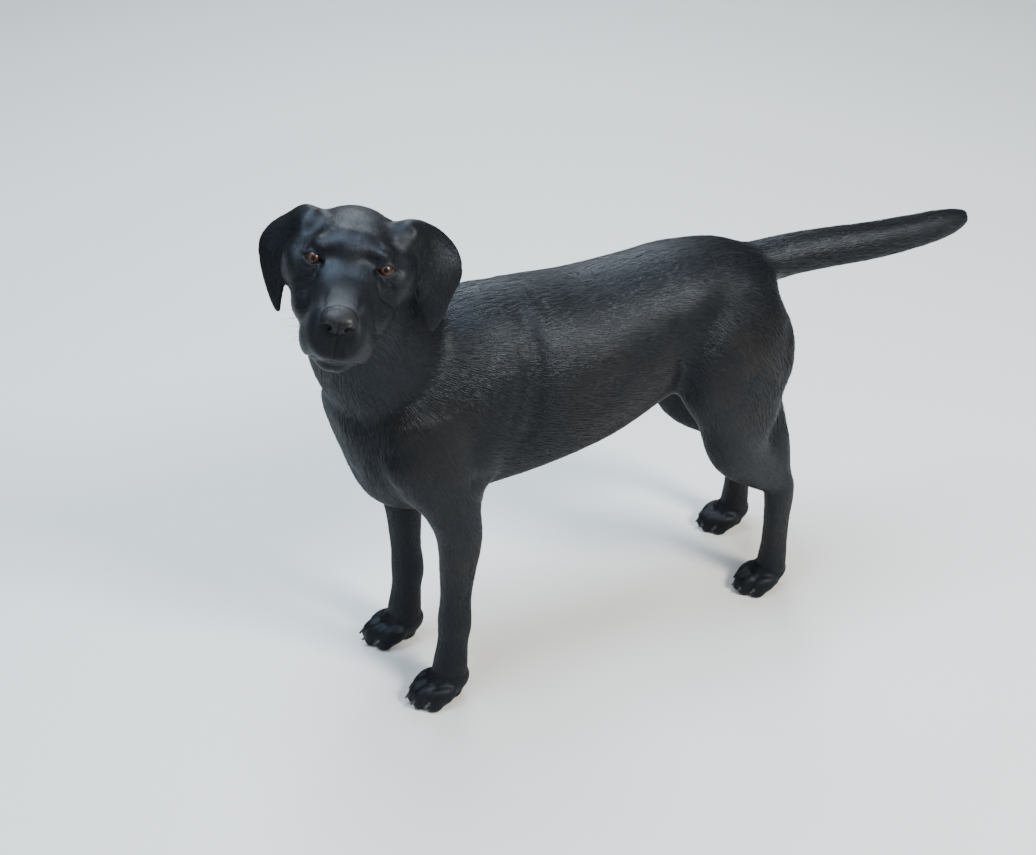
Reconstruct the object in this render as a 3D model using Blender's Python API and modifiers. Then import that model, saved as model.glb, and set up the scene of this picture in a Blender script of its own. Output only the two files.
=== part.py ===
"""A black Labrador Retriever, standing square with its head turned to its left, at life size.

The animal faces -Y, with its left side at +X, and stands on z = 0. The whole body is first
modelled as one soft form, from lofts and ellipsoids melted together, and is then parted by
thin cuts into the head, jaw, neck, trunk, tail, legs and paws. Ears, eyes, nose and claws
are solids of their own, let into it.
"""
import math

import bmesh
import bpy
import numpy as np
from mathutils import Euler, Matrix, Vector

# Driving dimensions, in metres and degrees.
GAP = 0.0003                # clearance between neighbouring solids
BODY_VOXEL = 0.005          # grain of the melted trunk, neck, tail and legs
HEAD_VOXEL = 0.0028
PAW_VOXEL = 0.0025
FLESH_TRIANGLES = 3840      # the flesh before it is parted
SOLE_HEIGHT = 0.0016        # how much of each pad is flattened where it stands
CENTRE_SHIFT = (-0.0501, -0.0981, 0.0)   # brings the middle of the outer box over the origin

EYES_MIDDLE = Vector((0.1076, -0.3483, 0.7152))   # between the eyes, origin of the head's own frame
HEAD_YAW = 65.6             # turned to its left
HEAD_PITCH = 10.5           # looking up
HEAD_ROLL = 11.0            # tilted to its left
HEAD_SCALE = 1.015
EYE_SPACING = 0.083
EYE_RADIUS = 0.0115
EYE_DEPTH = 0.0090          # how far an eye's centre lies behind the middle of the brow
NOSE_CENTRE = (0, -0.1025, -0.0335)
NOSE_RADII = (0.0215, 0.0145, 0.0158)

# Trunk stations: y, top, height of the widest line, bottom, half width.
TRUNK = (
    (-0.339, 0.464, 0.411, 0.368, 0.034),
    (-0.325, 0.502, 0.414, 0.328, 0.066),
    (-0.268, 0.545, 0.420, 0.284, 0.098),
    (-0.170, 0.582, 0.440, 0.296, 0.106),
    (-0.076, 0.581, 0.446, 0.307, 0.114),
    (0.017, 0.572, 0.455, 0.328, 0.115),
    (0.100, 0.575, 0.470, 0.363, 0.104),
    (0.183, 0.580, 0.485, 0.396, 0.093),
    (0.256, 0.569, 0.490, 0.410, 0.085),
    (0.306, 0.540, 0.490, 0.430, 0.061),
)

# Neck and tail stations: x, y, z, half width, reach upwards, reach downwards.
NECK = (
    (0.000, -0.114, 0.447, 0.090, 0.113, 0.118),
    (0.000, -0.198, 0.474, 0.090, 0.101, 0.126),
    (0.002, -0.252, 0.520, 0.082, 0.083, 0.112),
    (0.012, -0.292, 0.579, 0.074, 0.071, 0.096),
    (0.026, -0.306, 0.636, 0.066, 0.061, 0.074),
    (0.044, -0.311, 0.678, 0.053, 0.047, 0.051),
)
TAIL = (
    (0.000, 0.241, 0.523, 0.049, 0.039, 0.049),
    (0.003, 0.287, 0.530, 0.037, 0.029, 0.042),
    (0.010, 0.344, 0.537, 0.0310, 0.0275, 0.037),
    (0.019, 0.408, 0.539, 0.0290, 0.0265, 0.0355),
    (0.029, 0.475, 0.539, 0.0275, 0.0255, 0.0335),
    (0.036, 0.541, 0.541, 0.0255, 0.0240, 0.0300),
    (0.041, 0.597, 0.545, 0.0215, 0.0205, 0.0245),
    (0.043, 0.634, 0.549, 0.0120, 0.0115, 0.0135),
)

# Joints of each leg, and where its paw stands: centre, heading in degrees, scale.
FRONT_LEGS = {
    "left": {"side": 1, "elbow": (0.085, -0.201, 0.317), "wrist": (0.082, -0.215, 0.122),
             "ankle": (0.088, -0.225, 0.033), "paw": ((0.090, -0.234, 0.0), 4, 0.96)},
    "right": {"side": -1, "elbow": (-0.080, -0.222, 0.311), "wrist": (-0.067, -0.223, 0.119),
              "ankle": (-0.060, -0.232, 0.033), "paw": ((-0.060, -0.241, 0.0), -8, 0.96)},
}
HIND_LEGS = {
    "left": {"side": 1, "hip": (0.058, 0.222, 0.490), "stifle": (0.090, 0.170, 0.336),
             "hock": (0.081, 0.316, 0.176), "ankle": (0.074, 0.322, 0.033),
             "paw": ((0.071, 0.313, 0.0), 2, 0.90)},
    "right": {"side": -1, "hip": (-0.058, 0.224, 0.486), "stifle": (-0.089, 0.179, 0.329),
              "hock": (-0.080, 0.350, 0.165), "ankle": (-0.091, 0.358, 0.033),
              "paw": ((-0.092, 0.348, 0.0), -3, 0.90)},
}
TOES = ((-0.0245, -0.020, 10), (-0.0085, -0.034, 3), (0.0085, -0.034, -3), (0.0245, -0.020, -10))

# In the head's own frame: y forwards is negative, x to the animal's left.
MUZZLE = (  # y, top, bottom, half width
    (0.055, 0.032, -0.074, 0.057),
    (0.018, 0.020, -0.080, 0.0510),
    (-0.012, 0.000, -0.084, 0.0425),
    (-0.041, -0.011, -0.087, 0.0375),
    (-0.072, -0.015, -0.088, 0.0365),
    (-0.096, -0.017, -0.084, 0.0350),
    (-0.111, -0.024, -0.075, 0.0270),
)
JAW = (
    (0.070, -0.042, -0.092, 0.042),
    (0.030, -0.052, -0.104, 0.036),
    (-0.020, -0.066, -0.108, 0.029),
    (-0.054, -0.074, -0.106, 0.0255),
    (-0.081, -0.079, -0.102, 0.0190),
)
# Ear stations: x, y, z, half thickness, half width, then the way that the width runs.
EARS = {
    "left": (
        (0.038, 0.070, 0.026, 0.0080, 0.020, 0.25, 0.95, -0.05),
        (0.060, 0.072, 0.043, 0.0065, 0.027, 0.40, 0.90, -0.12),
        (0.080, 0.071, 0.037, 0.0052, 0.030, 0.60, 0.78, -0.25),
        (0.094, 0.067, 0.017, 0.0048, 0.037, 0.80, 0.58, -0.20),
        (0.104, 0.062, -0.007, 0.0046, 0.036, 0.85, 0.50, 0.05),
        (0.106, 0.056, -0.032, 0.0044, 0.026, 0.85, 0.50, 0.12),
        (0.108, 0.051, -0.058, 0.0040, 0.015, 0.85, 0.50, 0.12),
        (0.108, 0.048, -0.078, 0.0028, 0.004, 0.85, 0.50, 0.12),
    ),
    "right": (
        (-0.038, 0.070, 0.026, 0.0080, 0.020, -0.25, 0.95, -0.05),
        (-0.057, 0.071, 0.040, 0.0065, 0.025, -0.40, 0.90, -0.20),
        (-0.076, 0.068, 0.025, 0.0052, 0.027, -0.56, 0.80, -0.34),
        (-0.088, 0.062, 0.006, 0.0048, 0.030, -0.70, 0.68, -0.20),
        (-0.091, 0.054, -0.012, 0.0046, 0.028, -0.72, 0.68, 0.05),
        (-0.087, 0.045, -0.038, 0.0044, 0.021, -0.72, 0.68, 0.10),
        (-0.081, 0.036, -0.062, 0.0040, 0.012, -0.72, 0.68, 0.10),
        (-0.075, 0.030, -0.079, 0.0028, 0.004, -0.72, 0.68, 0.10),
    ),
}

# Where the flesh is parted: each box keeps what lies inside it. Centre, size, turn in degrees.
HEAD_CELL = ((0.0, -0.030, -0.010), (0.26, 0.26, 0.224), (0, 0, 0))
JAW_CELL = ((0.0, -0.040, -0.108), (0.048, 0.160, 0.056), (-4, 0, 0))
NECK_CELL = ((0.0, -0.330, 0.643), (0.30, 0.40, 0.290), (26, 0, 0))
TAIL_CELL = ((0.020, 0.475, 0.550), (0.20, 0.340, 0.160), (0, 0, 0))


def paw_cell(leg, height):
    x, y, _ = leg["paw"][0]
    return (x, y - 0.010, 0.0), (0.100, 0.150, 2 * height), (0, 0, 0)


def front_leg_cell(s):
    return (s * 0.120, -0.238, 0.185), (0.170, 0.190, 0.300), (0, s * 12, 0)


def thigh_cell(s):
    return (s * 0.104, 0.252, 0.400), (0.150, 0.280, 0.190), (0, s * 14, 0)


def hind_leg_cell(s):
    return (s * 0.092, 0.275, 0.190), (0.144, 0.300, 0.340), (0, 0, 0)


# ---- collections and materials

def new_collection(name):
    collection = bpy.data.collections.new(name)
    bpy.context.scene.collection.children.link(collection)
    return collection


def material(name, color, roughness):
    mat = bpy.data.materials.new(name)
    mat.use_nodes = True
    shader = mat.node_tree.nodes["Principled BSDF"]
    shader.inputs["Base Color"].default_value = (*color, 1.0)
    shader.inputs["Roughness"].default_value = roughness
    shader.inputs["Metallic"].default_value = 0.0
    mat.diffuse_color = (*color, 1.0)
    return mat


# ---- shapes

def add_object(name, mesh, collection):
    obj = bpy.data.objects.new(name, mesh)
    collection.objects.link(obj)
    return obj


def to_object(bm, name, collection):
    mesh = bpy.data.meshes.new(name)
    bm.to_mesh(mesh)
    bm.free()
    return add_object(name, mesh, collection)


def spline(keys, count):
    """A Catmull-Rom curve through rows of numbers, evenly spaced from row to row."""
    keys = np.array(keys, float)
    last = len(keys) - 1
    rows = []
    for i in range(count):
        place = i / (count - 1) * last
        k = min(int(place), last - 1)
        u = place - k
        p1, p2 = keys[k], keys[k + 1]
        p0 = keys[k - 1] if k > 0 else 2 * p1 - p2
        p3 = keys[k + 2] if k + 2 <= last else 2 * p2 - p1
        rows.append(0.5 * (2 * p1 + (p2 - p0) * u + (2 * p0 - 5 * p1 + 4 * p2 - p3) * u ** 2
                           + (3 * p1 - p0 - 3 * p2 + p3) * u ** 3))
    return np.array(rows)


def loft(name, keys, rings, sides, square, up=None):
    """A closed skin over superellipse sections.

    A key is x, y, z, half width, reach towards up, reach away from it, and up itself where
    it changes from section to section.
    """
    if up is not None:
        keys = [(*key, *up) for key in keys]
    rows = spline(keys, rings)
    tangents = np.gradient(rows[:, :3], axis=0)
    bm = bmesh.new()
    loops = []
    for (x, y, z, half, plus, minus, *upward), tangent in zip(rows, tangents):
        along = Vector(tangent).normalized()
        rise = Vector(upward) - along * Vector(upward).dot(along)
        rise.normalize()
        across = rise.cross(along)
        loop = []
        for i in range(sides):
            angle = 2 * math.pi * i / sides
            c, s = math.cos(angle), math.sin(angle)
            reach = max(plus if s > 0 else minus, 0.0015)
            w = math.copysign(abs(c) ** (2 / square), c) * max(half, 0.0015)
            h = math.copysign(abs(s) ** (2 / square), s) * reach
            loop.append(bm.verts.new(Vector((x, y, z)) + across * w + rise * h))
        loops.append(loop)
    for near, far in zip(loops, loops[1:]):
        for i in range(sides):
            j = (i + 1) % sides
            bm.faces.new((near[i], near[j], far[j], far[i]))
    bm.faces.new(reversed(loops[0]))
    bm.faces.new(loops[-1])
    bmesh.ops.recalc_face_normals(bm, faces=bm.faces)
    return to_object(bm, name, CUTTERS)


def ellipsoid(name, centre, radii, turn=Matrix.Identity(3), segments=20):
    bm = bmesh.new()
    bmesh.ops.create_uvsphere(bm, u_segments=segments, v_segments=segments // 2 + 2, radius=1.0)
    place = Matrix.Translation(centre) @ turn.to_4x4() @ Matrix.Diagonal((*radii, 1.0))
    bmesh.ops.transform(bm, matrix=place, verts=bm.verts)
    return to_object(bm, name, CUTTERS)


def muscle(start, end, width, thick, out):
    """An ellipsoid from start to end, width across and thick along out."""
    start, end = Vector(start), Vector(end)
    along = (end - start).normalized()
    rise = Vector(out) - along * Vector(out).dot(along)
    rise.normalize()
    turn = Matrix((along.cross(rise), along, rise)).transposed()
    return ellipsoid("muscle", (start + end) / 2, (width, (end - start).length * 0.55, thick), turn)


def join(objects, name, collection):
    bm = bmesh.new()
    for obj in objects:
        bm.from_mesh(obj.data)
        bpy.data.objects.remove(obj)
    return to_object(bm, name, collection)


def shape_with(obj, kind, **settings):
    """Adds a modifier and keeps the mesh that it gives."""
    modifier = obj.modifiers.new(kind, kind)
    for key, value in settings.items():
        setattr(modifier, key, value)
    bpy.context.view_layer.update()
    graph = bpy.context.evaluated_depsgraph_get()
    mesh = bpy.data.meshes.new_from_object(obj.evaluated_get(graph))
    obj.modifiers.clear()
    obj.data = mesh
    return obj


def melt(objects, name, voxel, smoothing):
    """Runs overlapping forms together into one soft closed form."""
    obj = join(objects, name, CUTTERS)
    shape_with(obj, "REMESH", mode="VOXEL", voxel_size=voxel)
    return shape_with(obj, "SMOOTH", factor=0.5, iterations=smoothing)


def copy_of(obj, name, collection):
    return add_object(name, obj.data.copy(), collection)


def grown(obj, distance):
    """A copy of a solid, larger all round by distance."""
    copy = copy_of(obj, obj.name + "_grown", CUTTERS)
    return shape_with(copy, "DISPLACE", strength=distance, mid_level=0.0, direction="NORMAL")


def boolean(obj, operation, other, solver="EXACT"):
    return shape_with(obj, "BOOLEAN", operation=operation, object=other, solver=solver)


def drop_crumbs(obj):
    """Keeps the largest body of a cut solid and clears away any crumb beside it."""
    bm = bmesh.new()
    bm.from_mesh(obj.data)
    unseen = set(bm.verts)
    bodies = []
    while unseen:
        body = {unseen.pop()}
        edge = list(body)
        while edge:
            linked = {other for link in edge.pop().link_edges for other in link.verts} - body
            body |= linked
            edge += linked
        unseen -= body
        bodies.append(body)
    bodies.sort(key=len)
    bmesh.ops.delete(bm, geom=[vert for body in bodies[:-1] for vert in body], context="VERTS")
    bm.to_mesh(obj.data)
    bm.free()


# ---- the body's forms

def trunk_form():
    rows = [(0, y, mid, half, top - mid, mid - bottom) for y, top, mid, bottom, half in TRUNK]
    return loft("trunk_form", rows, rings=40, sides=32, square=2.25, up=(0, 0, 1))


def neck_form():
    return loft("neck_form", NECK, rings=20, sides=28, square=2.1, up=(-0.25, 0.5, 1))


def sheath_form():
    return muscle((0, 0.062, 0.352), (0, 0.170, 0.386), 0.017, 0.019, (0, 0, -1))


def tail_form():
    return loft("tail_form", TAIL, rings=30, sides=20, square=2.0, up=(0, 0, 1))


def front_leg_forms(leg):
    s = leg["side"]
    elbow, wrist, ankle = Vector(leg["elbow"]), Vector(leg["wrist"]), Vector(leg["ankle"])
    rows = [
        (s * 0.068, -0.242, 0.463, 0.039, 0.070, 0.058),
        (s * 0.080, -0.238, 0.392, 0.041, 0.064, 0.058),
        (elbow.x, elbow.y - 0.016, elbow.z + 0.010, 0.0355, 0.043, 0.040),
        (*elbow.lerp(wrist, 0.28), 0.0290, 0.0320, 0.0335),
        (*elbow.lerp(wrist, 0.55), 0.0240, 0.0268, 0.0280),
        (*elbow.lerp(wrist, 0.82), 0.0210, 0.0230, 0.0240),
        (*wrist, 0.0235, 0.0245, 0.0268),
        (*wrist.lerp(ankle, 0.35), 0.0215, 0.0222, 0.0232),
        (*wrist.lerp(ankle, 0.75), 0.0255, 0.0265, 0.0240),
        (*wrist.lerp(ankle, 1.05), 0.0260, 0.0300, 0.0230),
    ]
    upper_end = elbow + Vector((s * 0.004, 0.006, 0.010))
    chest_end = elbow + Vector((-s * 0.006, -0.020, -0.005))
    return [
        loft("front_leg_form", rows, rings=36, sides=24, square=2.15, up=(0, -1, 0)),
        muscle((s * 0.052, -0.157, 0.551), (s * 0.094, -0.292, 0.418), 0.049, 0.023, (s, 0, 0.15)),
        muscle((s * 0.092, -0.302, 0.416), (s * 0.094, -0.192, 0.343), 0.039, 0.025, (s, 0, 0)),
        muscle((s * 0.078, -0.150, 0.473), upper_end, 0.037, 0.025, (s, 0, 0)),
        muscle((s * 0.060, -0.270, 0.380), chest_end, 0.034, 0.030, (0, -1, 0)),
        muscle(elbow + Vector((s * 0.006, -0.020, 0)),
               elbow.lerp(wrist, 0.62) + Vector((s * 0.004, -0.008, 0)), 0.019, 0.019, (s, -1, 0)),
        ellipsoid("elbow", elbow + Vector((0, 0.016, 0.010)), (0.017, 0.018, 0.022)),
        ellipsoid("carpal_pad", wrist + Vector((0, 0.021, -0.018)), (0.009, 0.008, 0.011)),
    ]


def hind_leg_forms(leg):
    s = leg["side"]
    hip, stifle = Vector(leg["hip"]), Vector(leg["stifle"])
    hock, ankle = Vector(leg["hock"]), Vector(leg["ankle"])
    rows = [
        (s * 0.049, hip.y - 0.020, 0.527, 0.033, 0.068, 0.080),
        (s * 0.066, hip.y - 0.012, 0.470, 0.043, 0.084, 0.101),
        (s * 0.077, hip.y - 0.010, 0.405, 0.044, 0.078, 0.097),
        (stifle.x - s * 0.006, stifle.y + 0.053, stifle.z + 0.010, 0.039, 0.058, 0.078),
        (*(stifle.lerp(hock, 0.36) + Vector((0, 0.010, 0.004))), 0.0300, 0.046, 0.052),
        (*(stifle.lerp(hock, 0.68) + Vector((0, 0.004, 0.004))), 0.0225, 0.0310, 0.037),
        (hock.x, hock.y - 0.006, hock.z + 0.022, 0.0185, 0.0225, 0.0290),
        (*hock, 0.0205, 0.0230, 0.0260),
        (*hock.lerp(ankle, 0.33), 0.0185, 0.0205, 0.0225),
        (*hock.lerp(ankle, 0.62), 0.0190, 0.0210, 0.0215),
        (*hock.lerp(ankle, 0.88), 0.0230, 0.0240, 0.0210),
        (*hock.lerp(ankle, 1.04), 0.0230, 0.0270, 0.0200),
    ]
    tendon_top = (s * 0.080, hip.y + 0.060, 0.390)
    return [
        loft("hind_leg_form", rows, rings=42, sides=24, square=2.15, up=(0, -1, 0)),
        muscle((s * 0.050, hip.y - 0.055, 0.545), (s * 0.083, stifle.y + 0.058, 0.400),
               0.050, 0.031, (s, 0, 0.1)),
        muscle((s * 0.058, hip.y + 0.066, 0.492), (s * 0.086, stifle.y + 0.104, 0.350),
               0.044, 0.033, (s, 0, 0)),
        muscle((s * 0.068, stifle.y + 0.020, 0.438), stifle + Vector((0, 0.012, -0.004)),
               0.033, 0.033, (s, 0, 0)),
        muscle(hock + Vector((0, 0.012, 0.012)), tendon_top, 0.019, 0.014, (s, 0, 0)),
        ellipsoid("hock_point", hock + Vector((0, 0.015, 0.012)), (0.0120, 0.013, 0.018)),
    ]


def paw_frame(leg):
    centre, heading, scale = leg["paw"]
    turn = Matrix.Rotation(math.radians(heading), 4, "Z")
    return Matrix.Translation(centre) @ turn @ Matrix.Scale(scale, 4)


def paw_forms(leg):
    """Instep, heel pad and four toes with their pads. Toes point along the paw's -Y."""
    frame = paw_frame(leg)
    forms = [
        ellipsoid("instep", (0, 0.004, 0.030), (0.0275, 0.035, 0.025),
                  Matrix.Rotation(math.radians(10), 3, "X")),
        ellipsoid("heel_pad", (0, 0.006, 0.010), (0.022, 0.020, 0.013)),
    ]
    for x, y, fan in TOES:
        spread = Matrix.Rotation(math.radians(fan), 3, "Z")
        knuckle = spread @ Matrix.Rotation(math.radians(14), 3, "X")
        forms.append(ellipsoid("toe", (x, y, 0.0205), (0.0110, 0.0250, 0.0160), knuckle, 16))
        forms.append(ellipsoid("toe_pad", (x * 1.04, y - 0.011, 0.0110), (0.0100, 0.0140, 0.0125),
                               spread, 16))
    for form in forms:
        form.data.transform(frame)
    return forms


def head_frame():
    turn = Matrix.Rotation(math.radians(HEAD_YAW), 4, "Z")
    tilt = Matrix.Rotation(math.radians(-HEAD_PITCH), 4, "X")
    roll = Matrix.Rotation(math.radians(HEAD_ROLL), 4, "Y")
    return Matrix.Translation(EYES_MIDDLE) @ turn @ tilt @ roll @ Matrix.Scale(HEAD_SCALE, 4)


def head_forms():
    forms = []

    def add(centre, radii, turn=(0, 0, 0)):
        rotation = Euler([math.radians(angle) for angle in turn]).to_matrix()
        forms.append(ellipsoid("head_form", centre, radii, rotation))

    add((0, 0.066, 0.004), (0.060, 0.076, 0.050))           # cranium
    add((0, 0.030, 0.018), (0.046, 0.040, 0.028))           # forehead
    add((0, 0.104, -0.028), (0.050, 0.054, 0.054))          # nape
    add((0, 0.118, -0.075), (0.056, 0.052, 0.080))          # top of the neck
    for s in (-1, 1):
        add((s * 0.028, 0.016, 0.017), (0.022, 0.024, 0.0155), (0, 0, s * 14))   # brow
        add((s * 0.050, 0.052, -0.014), (0.030, 0.053, 0.043), (0, 0, s * 8))    # cheek
        add((s * 0.040, 0.092, -0.004), (0.030, 0.042, 0.042))                   # back of the skull
        add((s * 0.054, 0.066, 0.021), (0.020, 0.032, 0.024), (0, s * 30, 0))    # root of the ear
        add((s * 0.0265, -0.060, -0.066), (0.0160, 0.040, 0.027), (0, 0, s * 4))  # hanging lip
        add((s * 0.031, -0.027, -0.069), (0.0150, 0.034, 0.021))                 # lip at its corner
        add((s * 0.041, 0.014, -0.050), (0.0230, 0.052, 0.027))                  # jaw below the cheek
        add((s * 0.056, 0.060, 0.030), (0.0220, 0.030, 0.0170), (0, s * 18, 0))  # fold before the ear
    for name, stations, square in (("muzzle", MUZZLE, 2.6), ("jaw", JAW, 2.4)):
        rows = [(0, y, (top + bottom) / 2, half, (top - bottom) / 2, (top - bottom) / 2)
                for y, top, bottom, half in stations]
        forms.append(loft(name, rows, rings=24, sides=28, square=square, up=(0, 0, 1)))
    return forms


def ear_form(side):
    rows = [(x, y, z, thick, half, half, *way) for x, y, z, thick, half, *way in EARS[side]]
    return loft("ear_" + side, rows, rings=13, sides=10, square=2.0)


def claw_form(frame, x, y, fan, scale):
    """A short hooked cone that leaves the front of a toe."""
    rows = []
    for i in range(5):
        t = i / 4
        radius = 0.0037 * (1 - 0.80 * t)
        rows.append((0, -0.0150 * t, 0.0018 * t - 0.0080 * t * t, radius * 0.75, radius, radius))
    claw = loft("claw", rows, rings=4, sides=6, square=2.0, up=(0, 0, 1))
    spot = Matrix.Translation((x * 1.08, y - 0.0170, 0.0175))
    place = frame @ spot @ Matrix.Rotation(math.radians(fan), 4, "Z")
    claw.data.transform(place @ Matrix.Scale(scale, 4))
    return claw


# ---- parting

def cell(centre, size, turn, frame, extra):
    bm = bmesh.new()
    bmesh.ops.create_cube(bm, size=1.0)
    rotation = Euler([math.radians(angle) for angle in turn]).to_matrix().to_4x4()
    reach = [length + 2 * extra for length in size]
    place = frame @ Matrix.Translation(centre) @ rotation @ Matrix.Diagonal((*reach, 1.0))
    bmesh.ops.transform(bm, matrix=place, verts=bm.verts)
    return to_object(bm, "cell", CUTTERS)


def part_off(rest, name, box, frame=Matrix.Identity(4)):
    """Splits what lies inside the box off the rest, and leaves the gap between them."""
    piece = boolean(copy_of(rest, name, PARTS), "INTERSECT", cell(*box, frame, 0.0))
    boolean(rest, "DIFFERENCE", cell(*box, frame, GAP))
    return piece


def stand_flat(obj):
    """Cuts the soles off level, and sets them on the ground."""
    slab = cell((0, 0, SOLE_HEIGHT - 0.5), (4, 4, 1), (0, 0, 0), Matrix.Identity(4), 0.0)
    boolean(obj, "DIFFERENCE", slab)
    obj.data.transform(Matrix.Translation((0, 0, -SOLE_HEIGHT)))


def flesh_form():
    forms = [trunk_form(), neck_form(), sheath_form(), tail_form()]
    for leg in FRONT_LEGS.values():
        forms += front_leg_forms(leg)
    for leg in HIND_LEGS.values():
        forms += hind_leg_forms(leg)
    body = melt(forms, "body", BODY_VOXEL, 14)
    paws = melt([form for leg in (*FRONT_LEGS.values(), *HIND_LEGS.values()) for form in paw_forms(leg)],
                "paws", PAW_VOXEL, 5)
    head = melt(head_forms(), "head_form", HEAD_VOXEL, 18)
    head.data.transform(head_frame())
    flesh = melt([body, paws, head], "flesh", 0.004, 3)
    triangles = sum(len(face.vertices) - 2 for face in flesh.data.polygons)
    return shape_with(flesh, "DECIMATE", decimate_type="COLLAPSE", ratio=FLESH_TRIANGLES / triangles)


def build_head(flesh, place):
    head = part_off(flesh, "head", HEAD_CELL, place)
    for side, s in (("left", 1), ("right", -1)):
        eye = ellipsoid("eye_" + side, (s * EYE_SPACING / 2, EYE_DEPTH, 0), (EYE_RADIUS,) * 3, segments=12)
        eye.data.transform(place)
        boolean(head, "DIFFERENCE", grown(eye, GAP))
        finish(eye, EYE)
    nose = ellipsoid("nose", NOSE_CENTRE, NOSE_RADII, segments=14)
    nose.data.transform(place)
    boolean(head, "DIFFERENCE", grown(nose, GAP))
    finish(nose, NOSE)
    finish(part_off(head, "lower_jaw", JAW_CELL, place), COAT)
    return head


def build_paw(flesh, place, leg, height, scale):
    paw = part_off(flesh, place + "_paw_" + side_of(leg), paw_cell(leg, height))
    for number, (x, y, fan) in enumerate(TOES, 1):
        claw = claw_form(paw_frame(leg), x, y, fan, scale)
        claw.name = f"claw_{place}_{side_of(leg)}_{number}"
        boolean(paw, "DIFFERENCE", grown(claw, GAP))
        finish(claw, CLAW)
    finish(paw, COAT)


def side_of(leg):
    return "left" if leg["side"] > 0 else "right"


def finish(obj, mat):
    """Moves a finished piece into the parts, with its material and place."""
    for collection in obj.users_collection:
        collection.objects.unlink(obj)
    PARTS.objects.link(obj)
    obj.data.name = obj.name
    obj.data.materials.clear()
    obj.data.materials.append(mat)
    obj.data.transform(Matrix.Translation(CENTRE_SHIFT))
    obj.data.shade_smooth()
    obj.data.set_sharp_from_angle(angle=math.radians(35))


def build():
    head_place = head_frame()
    flesh = flesh_form()
    stand_flat(flesh)
    head = build_head(flesh, head_place)
    for leg in FRONT_LEGS.values():
        build_paw(flesh, "front", leg, 0.052, 1.0)
        finish(part_off(flesh, "front_leg_" + side_of(leg), front_leg_cell(leg["side"])), COAT)
    for leg in HIND_LEGS.values():
        build_paw(flesh, "hind", leg, 0.048, 0.95)
        finish(part_off(flesh, "thigh_" + side_of(leg), thigh_cell(leg["side"])), COAT)
        finish(part_off(flesh, "hind_leg_" + side_of(leg), hind_leg_cell(leg["side"])), COAT)
    finish(part_off(flesh, "tail", TAIL_CELL), COAT)
    neck = part_off(flesh, "neck", NECK_CELL)
    for side in EARS:
        ear = ear_form(side)
        ear.data.transform(head_place)
        for neighbour in (head, neck):
            boolean(ear, "DIFFERENCE", grown(neighbour, GAP), "MANIFOLD")
        drop_crumbs(ear)
        finish(ear, COAT)
    finish(head, COAT)
    finish(neck, COAT)
    flesh.name = "trunk"
    finish(flesh, COAT)


for old in list(bpy.data.objects):
    bpy.data.objects.remove(old)
PARTS = new_collection("labrador_retriever")
CUTTERS = new_collection("cutters")
COAT = material("black_coat", (0.012, 0.012, 0.014), 0.45)
NOSE = material("nose_leather", (0.010, 0.010, 0.011), 0.30)
EYE = material("brown_eye", (0.060, 0.022, 0.010), 0.06)
CLAW = material("claw_horn", (0.020, 0.018, 0.017), 0.35)
build()
for cutter in CUTTERS.objects:
    cutter.hide_render = True
    cutter.display_type = "WIRE"
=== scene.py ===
import math

import bmesh
import bpy
import numpy as np
from mathutils import Euler, Matrix, Vector
from mathutils.bvhtree import BVHTree


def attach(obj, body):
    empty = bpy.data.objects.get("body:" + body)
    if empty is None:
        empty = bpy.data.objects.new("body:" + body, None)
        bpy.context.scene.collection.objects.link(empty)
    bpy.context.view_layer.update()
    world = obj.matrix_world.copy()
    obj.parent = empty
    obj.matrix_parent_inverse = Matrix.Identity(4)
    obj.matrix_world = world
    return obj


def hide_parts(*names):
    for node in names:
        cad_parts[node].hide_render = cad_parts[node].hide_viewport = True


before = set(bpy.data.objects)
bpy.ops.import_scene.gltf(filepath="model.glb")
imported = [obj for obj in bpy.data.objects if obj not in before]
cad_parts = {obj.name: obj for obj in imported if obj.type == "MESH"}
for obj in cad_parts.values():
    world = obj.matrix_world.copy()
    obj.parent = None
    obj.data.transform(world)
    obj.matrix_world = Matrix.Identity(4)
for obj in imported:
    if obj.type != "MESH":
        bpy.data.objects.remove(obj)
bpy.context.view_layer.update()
dice = np.random.default_rng(11)
print("frame loaded:", len(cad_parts), "nodes")

# The dog is modelled about its own middle plane, facing -Y, and moved into the frame at the end.
toFrame = Matrix.Translation((-0.0501, -0.0981, 0.0))


def deselect():
    bpy.ops.object.select_all(action="DESELECT")


def makeActive(piece):
    deselect()
    piece.select_set(True)
    bpy.context.view_layer.objects.active = piece


def applyModifier(piece, kind, **settings):
    makeActive(piece)
    modifier = piece.modifiers.new(kind.lower(), kind)
    for key, value in settings.items():
        setattr(modifier, key, value)
    bpy.ops.object.modifier_apply(modifier=modifier.name)


def joinPieces(pieces, name):
    deselect()
    for piece in pieces:
        piece.select_set(True)
    bpy.context.view_layer.objects.active = pieces[0]
    bpy.ops.object.join()
    joined = bpy.context.object
    joined.name = name
    joined.data.name = name
    return joined


def meshPiece(name, points, faces):
    mesh = bpy.data.meshes.new(name)
    mesh.from_pydata(points, [], faces)
    mesh.update()
    piece = bpy.data.objects.new(name, mesh)
    bpy.context.scene.collection.objects.link(piece)
    return piece


def readPoints(piece):
    points = np.zeros(len(piece.data.vertices) * 3)
    piece.data.vertices.foreach_get("co", points)
    return points.reshape(-1, 3)


def readNormals(piece):
    normals = np.zeros(len(piece.data.vertices) * 3)
    piece.data.vertex_normals.foreach_get("vector", normals)
    return normals.reshape(-1, 3)


def writePoints(piece, points):
    piece.data.vertices.foreach_set("co", points.ravel())
    piece.data.update()


def moved(points, place):
    matrix = np.array(place)
    return points @ matrix[:3, :3].T + matrix[:3, 3]


def smoothStep(value, low, high):
    t = np.clip((value - low) / (high - low), 0, 1)
    return t * t * (3 - 2 * t)


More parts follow.
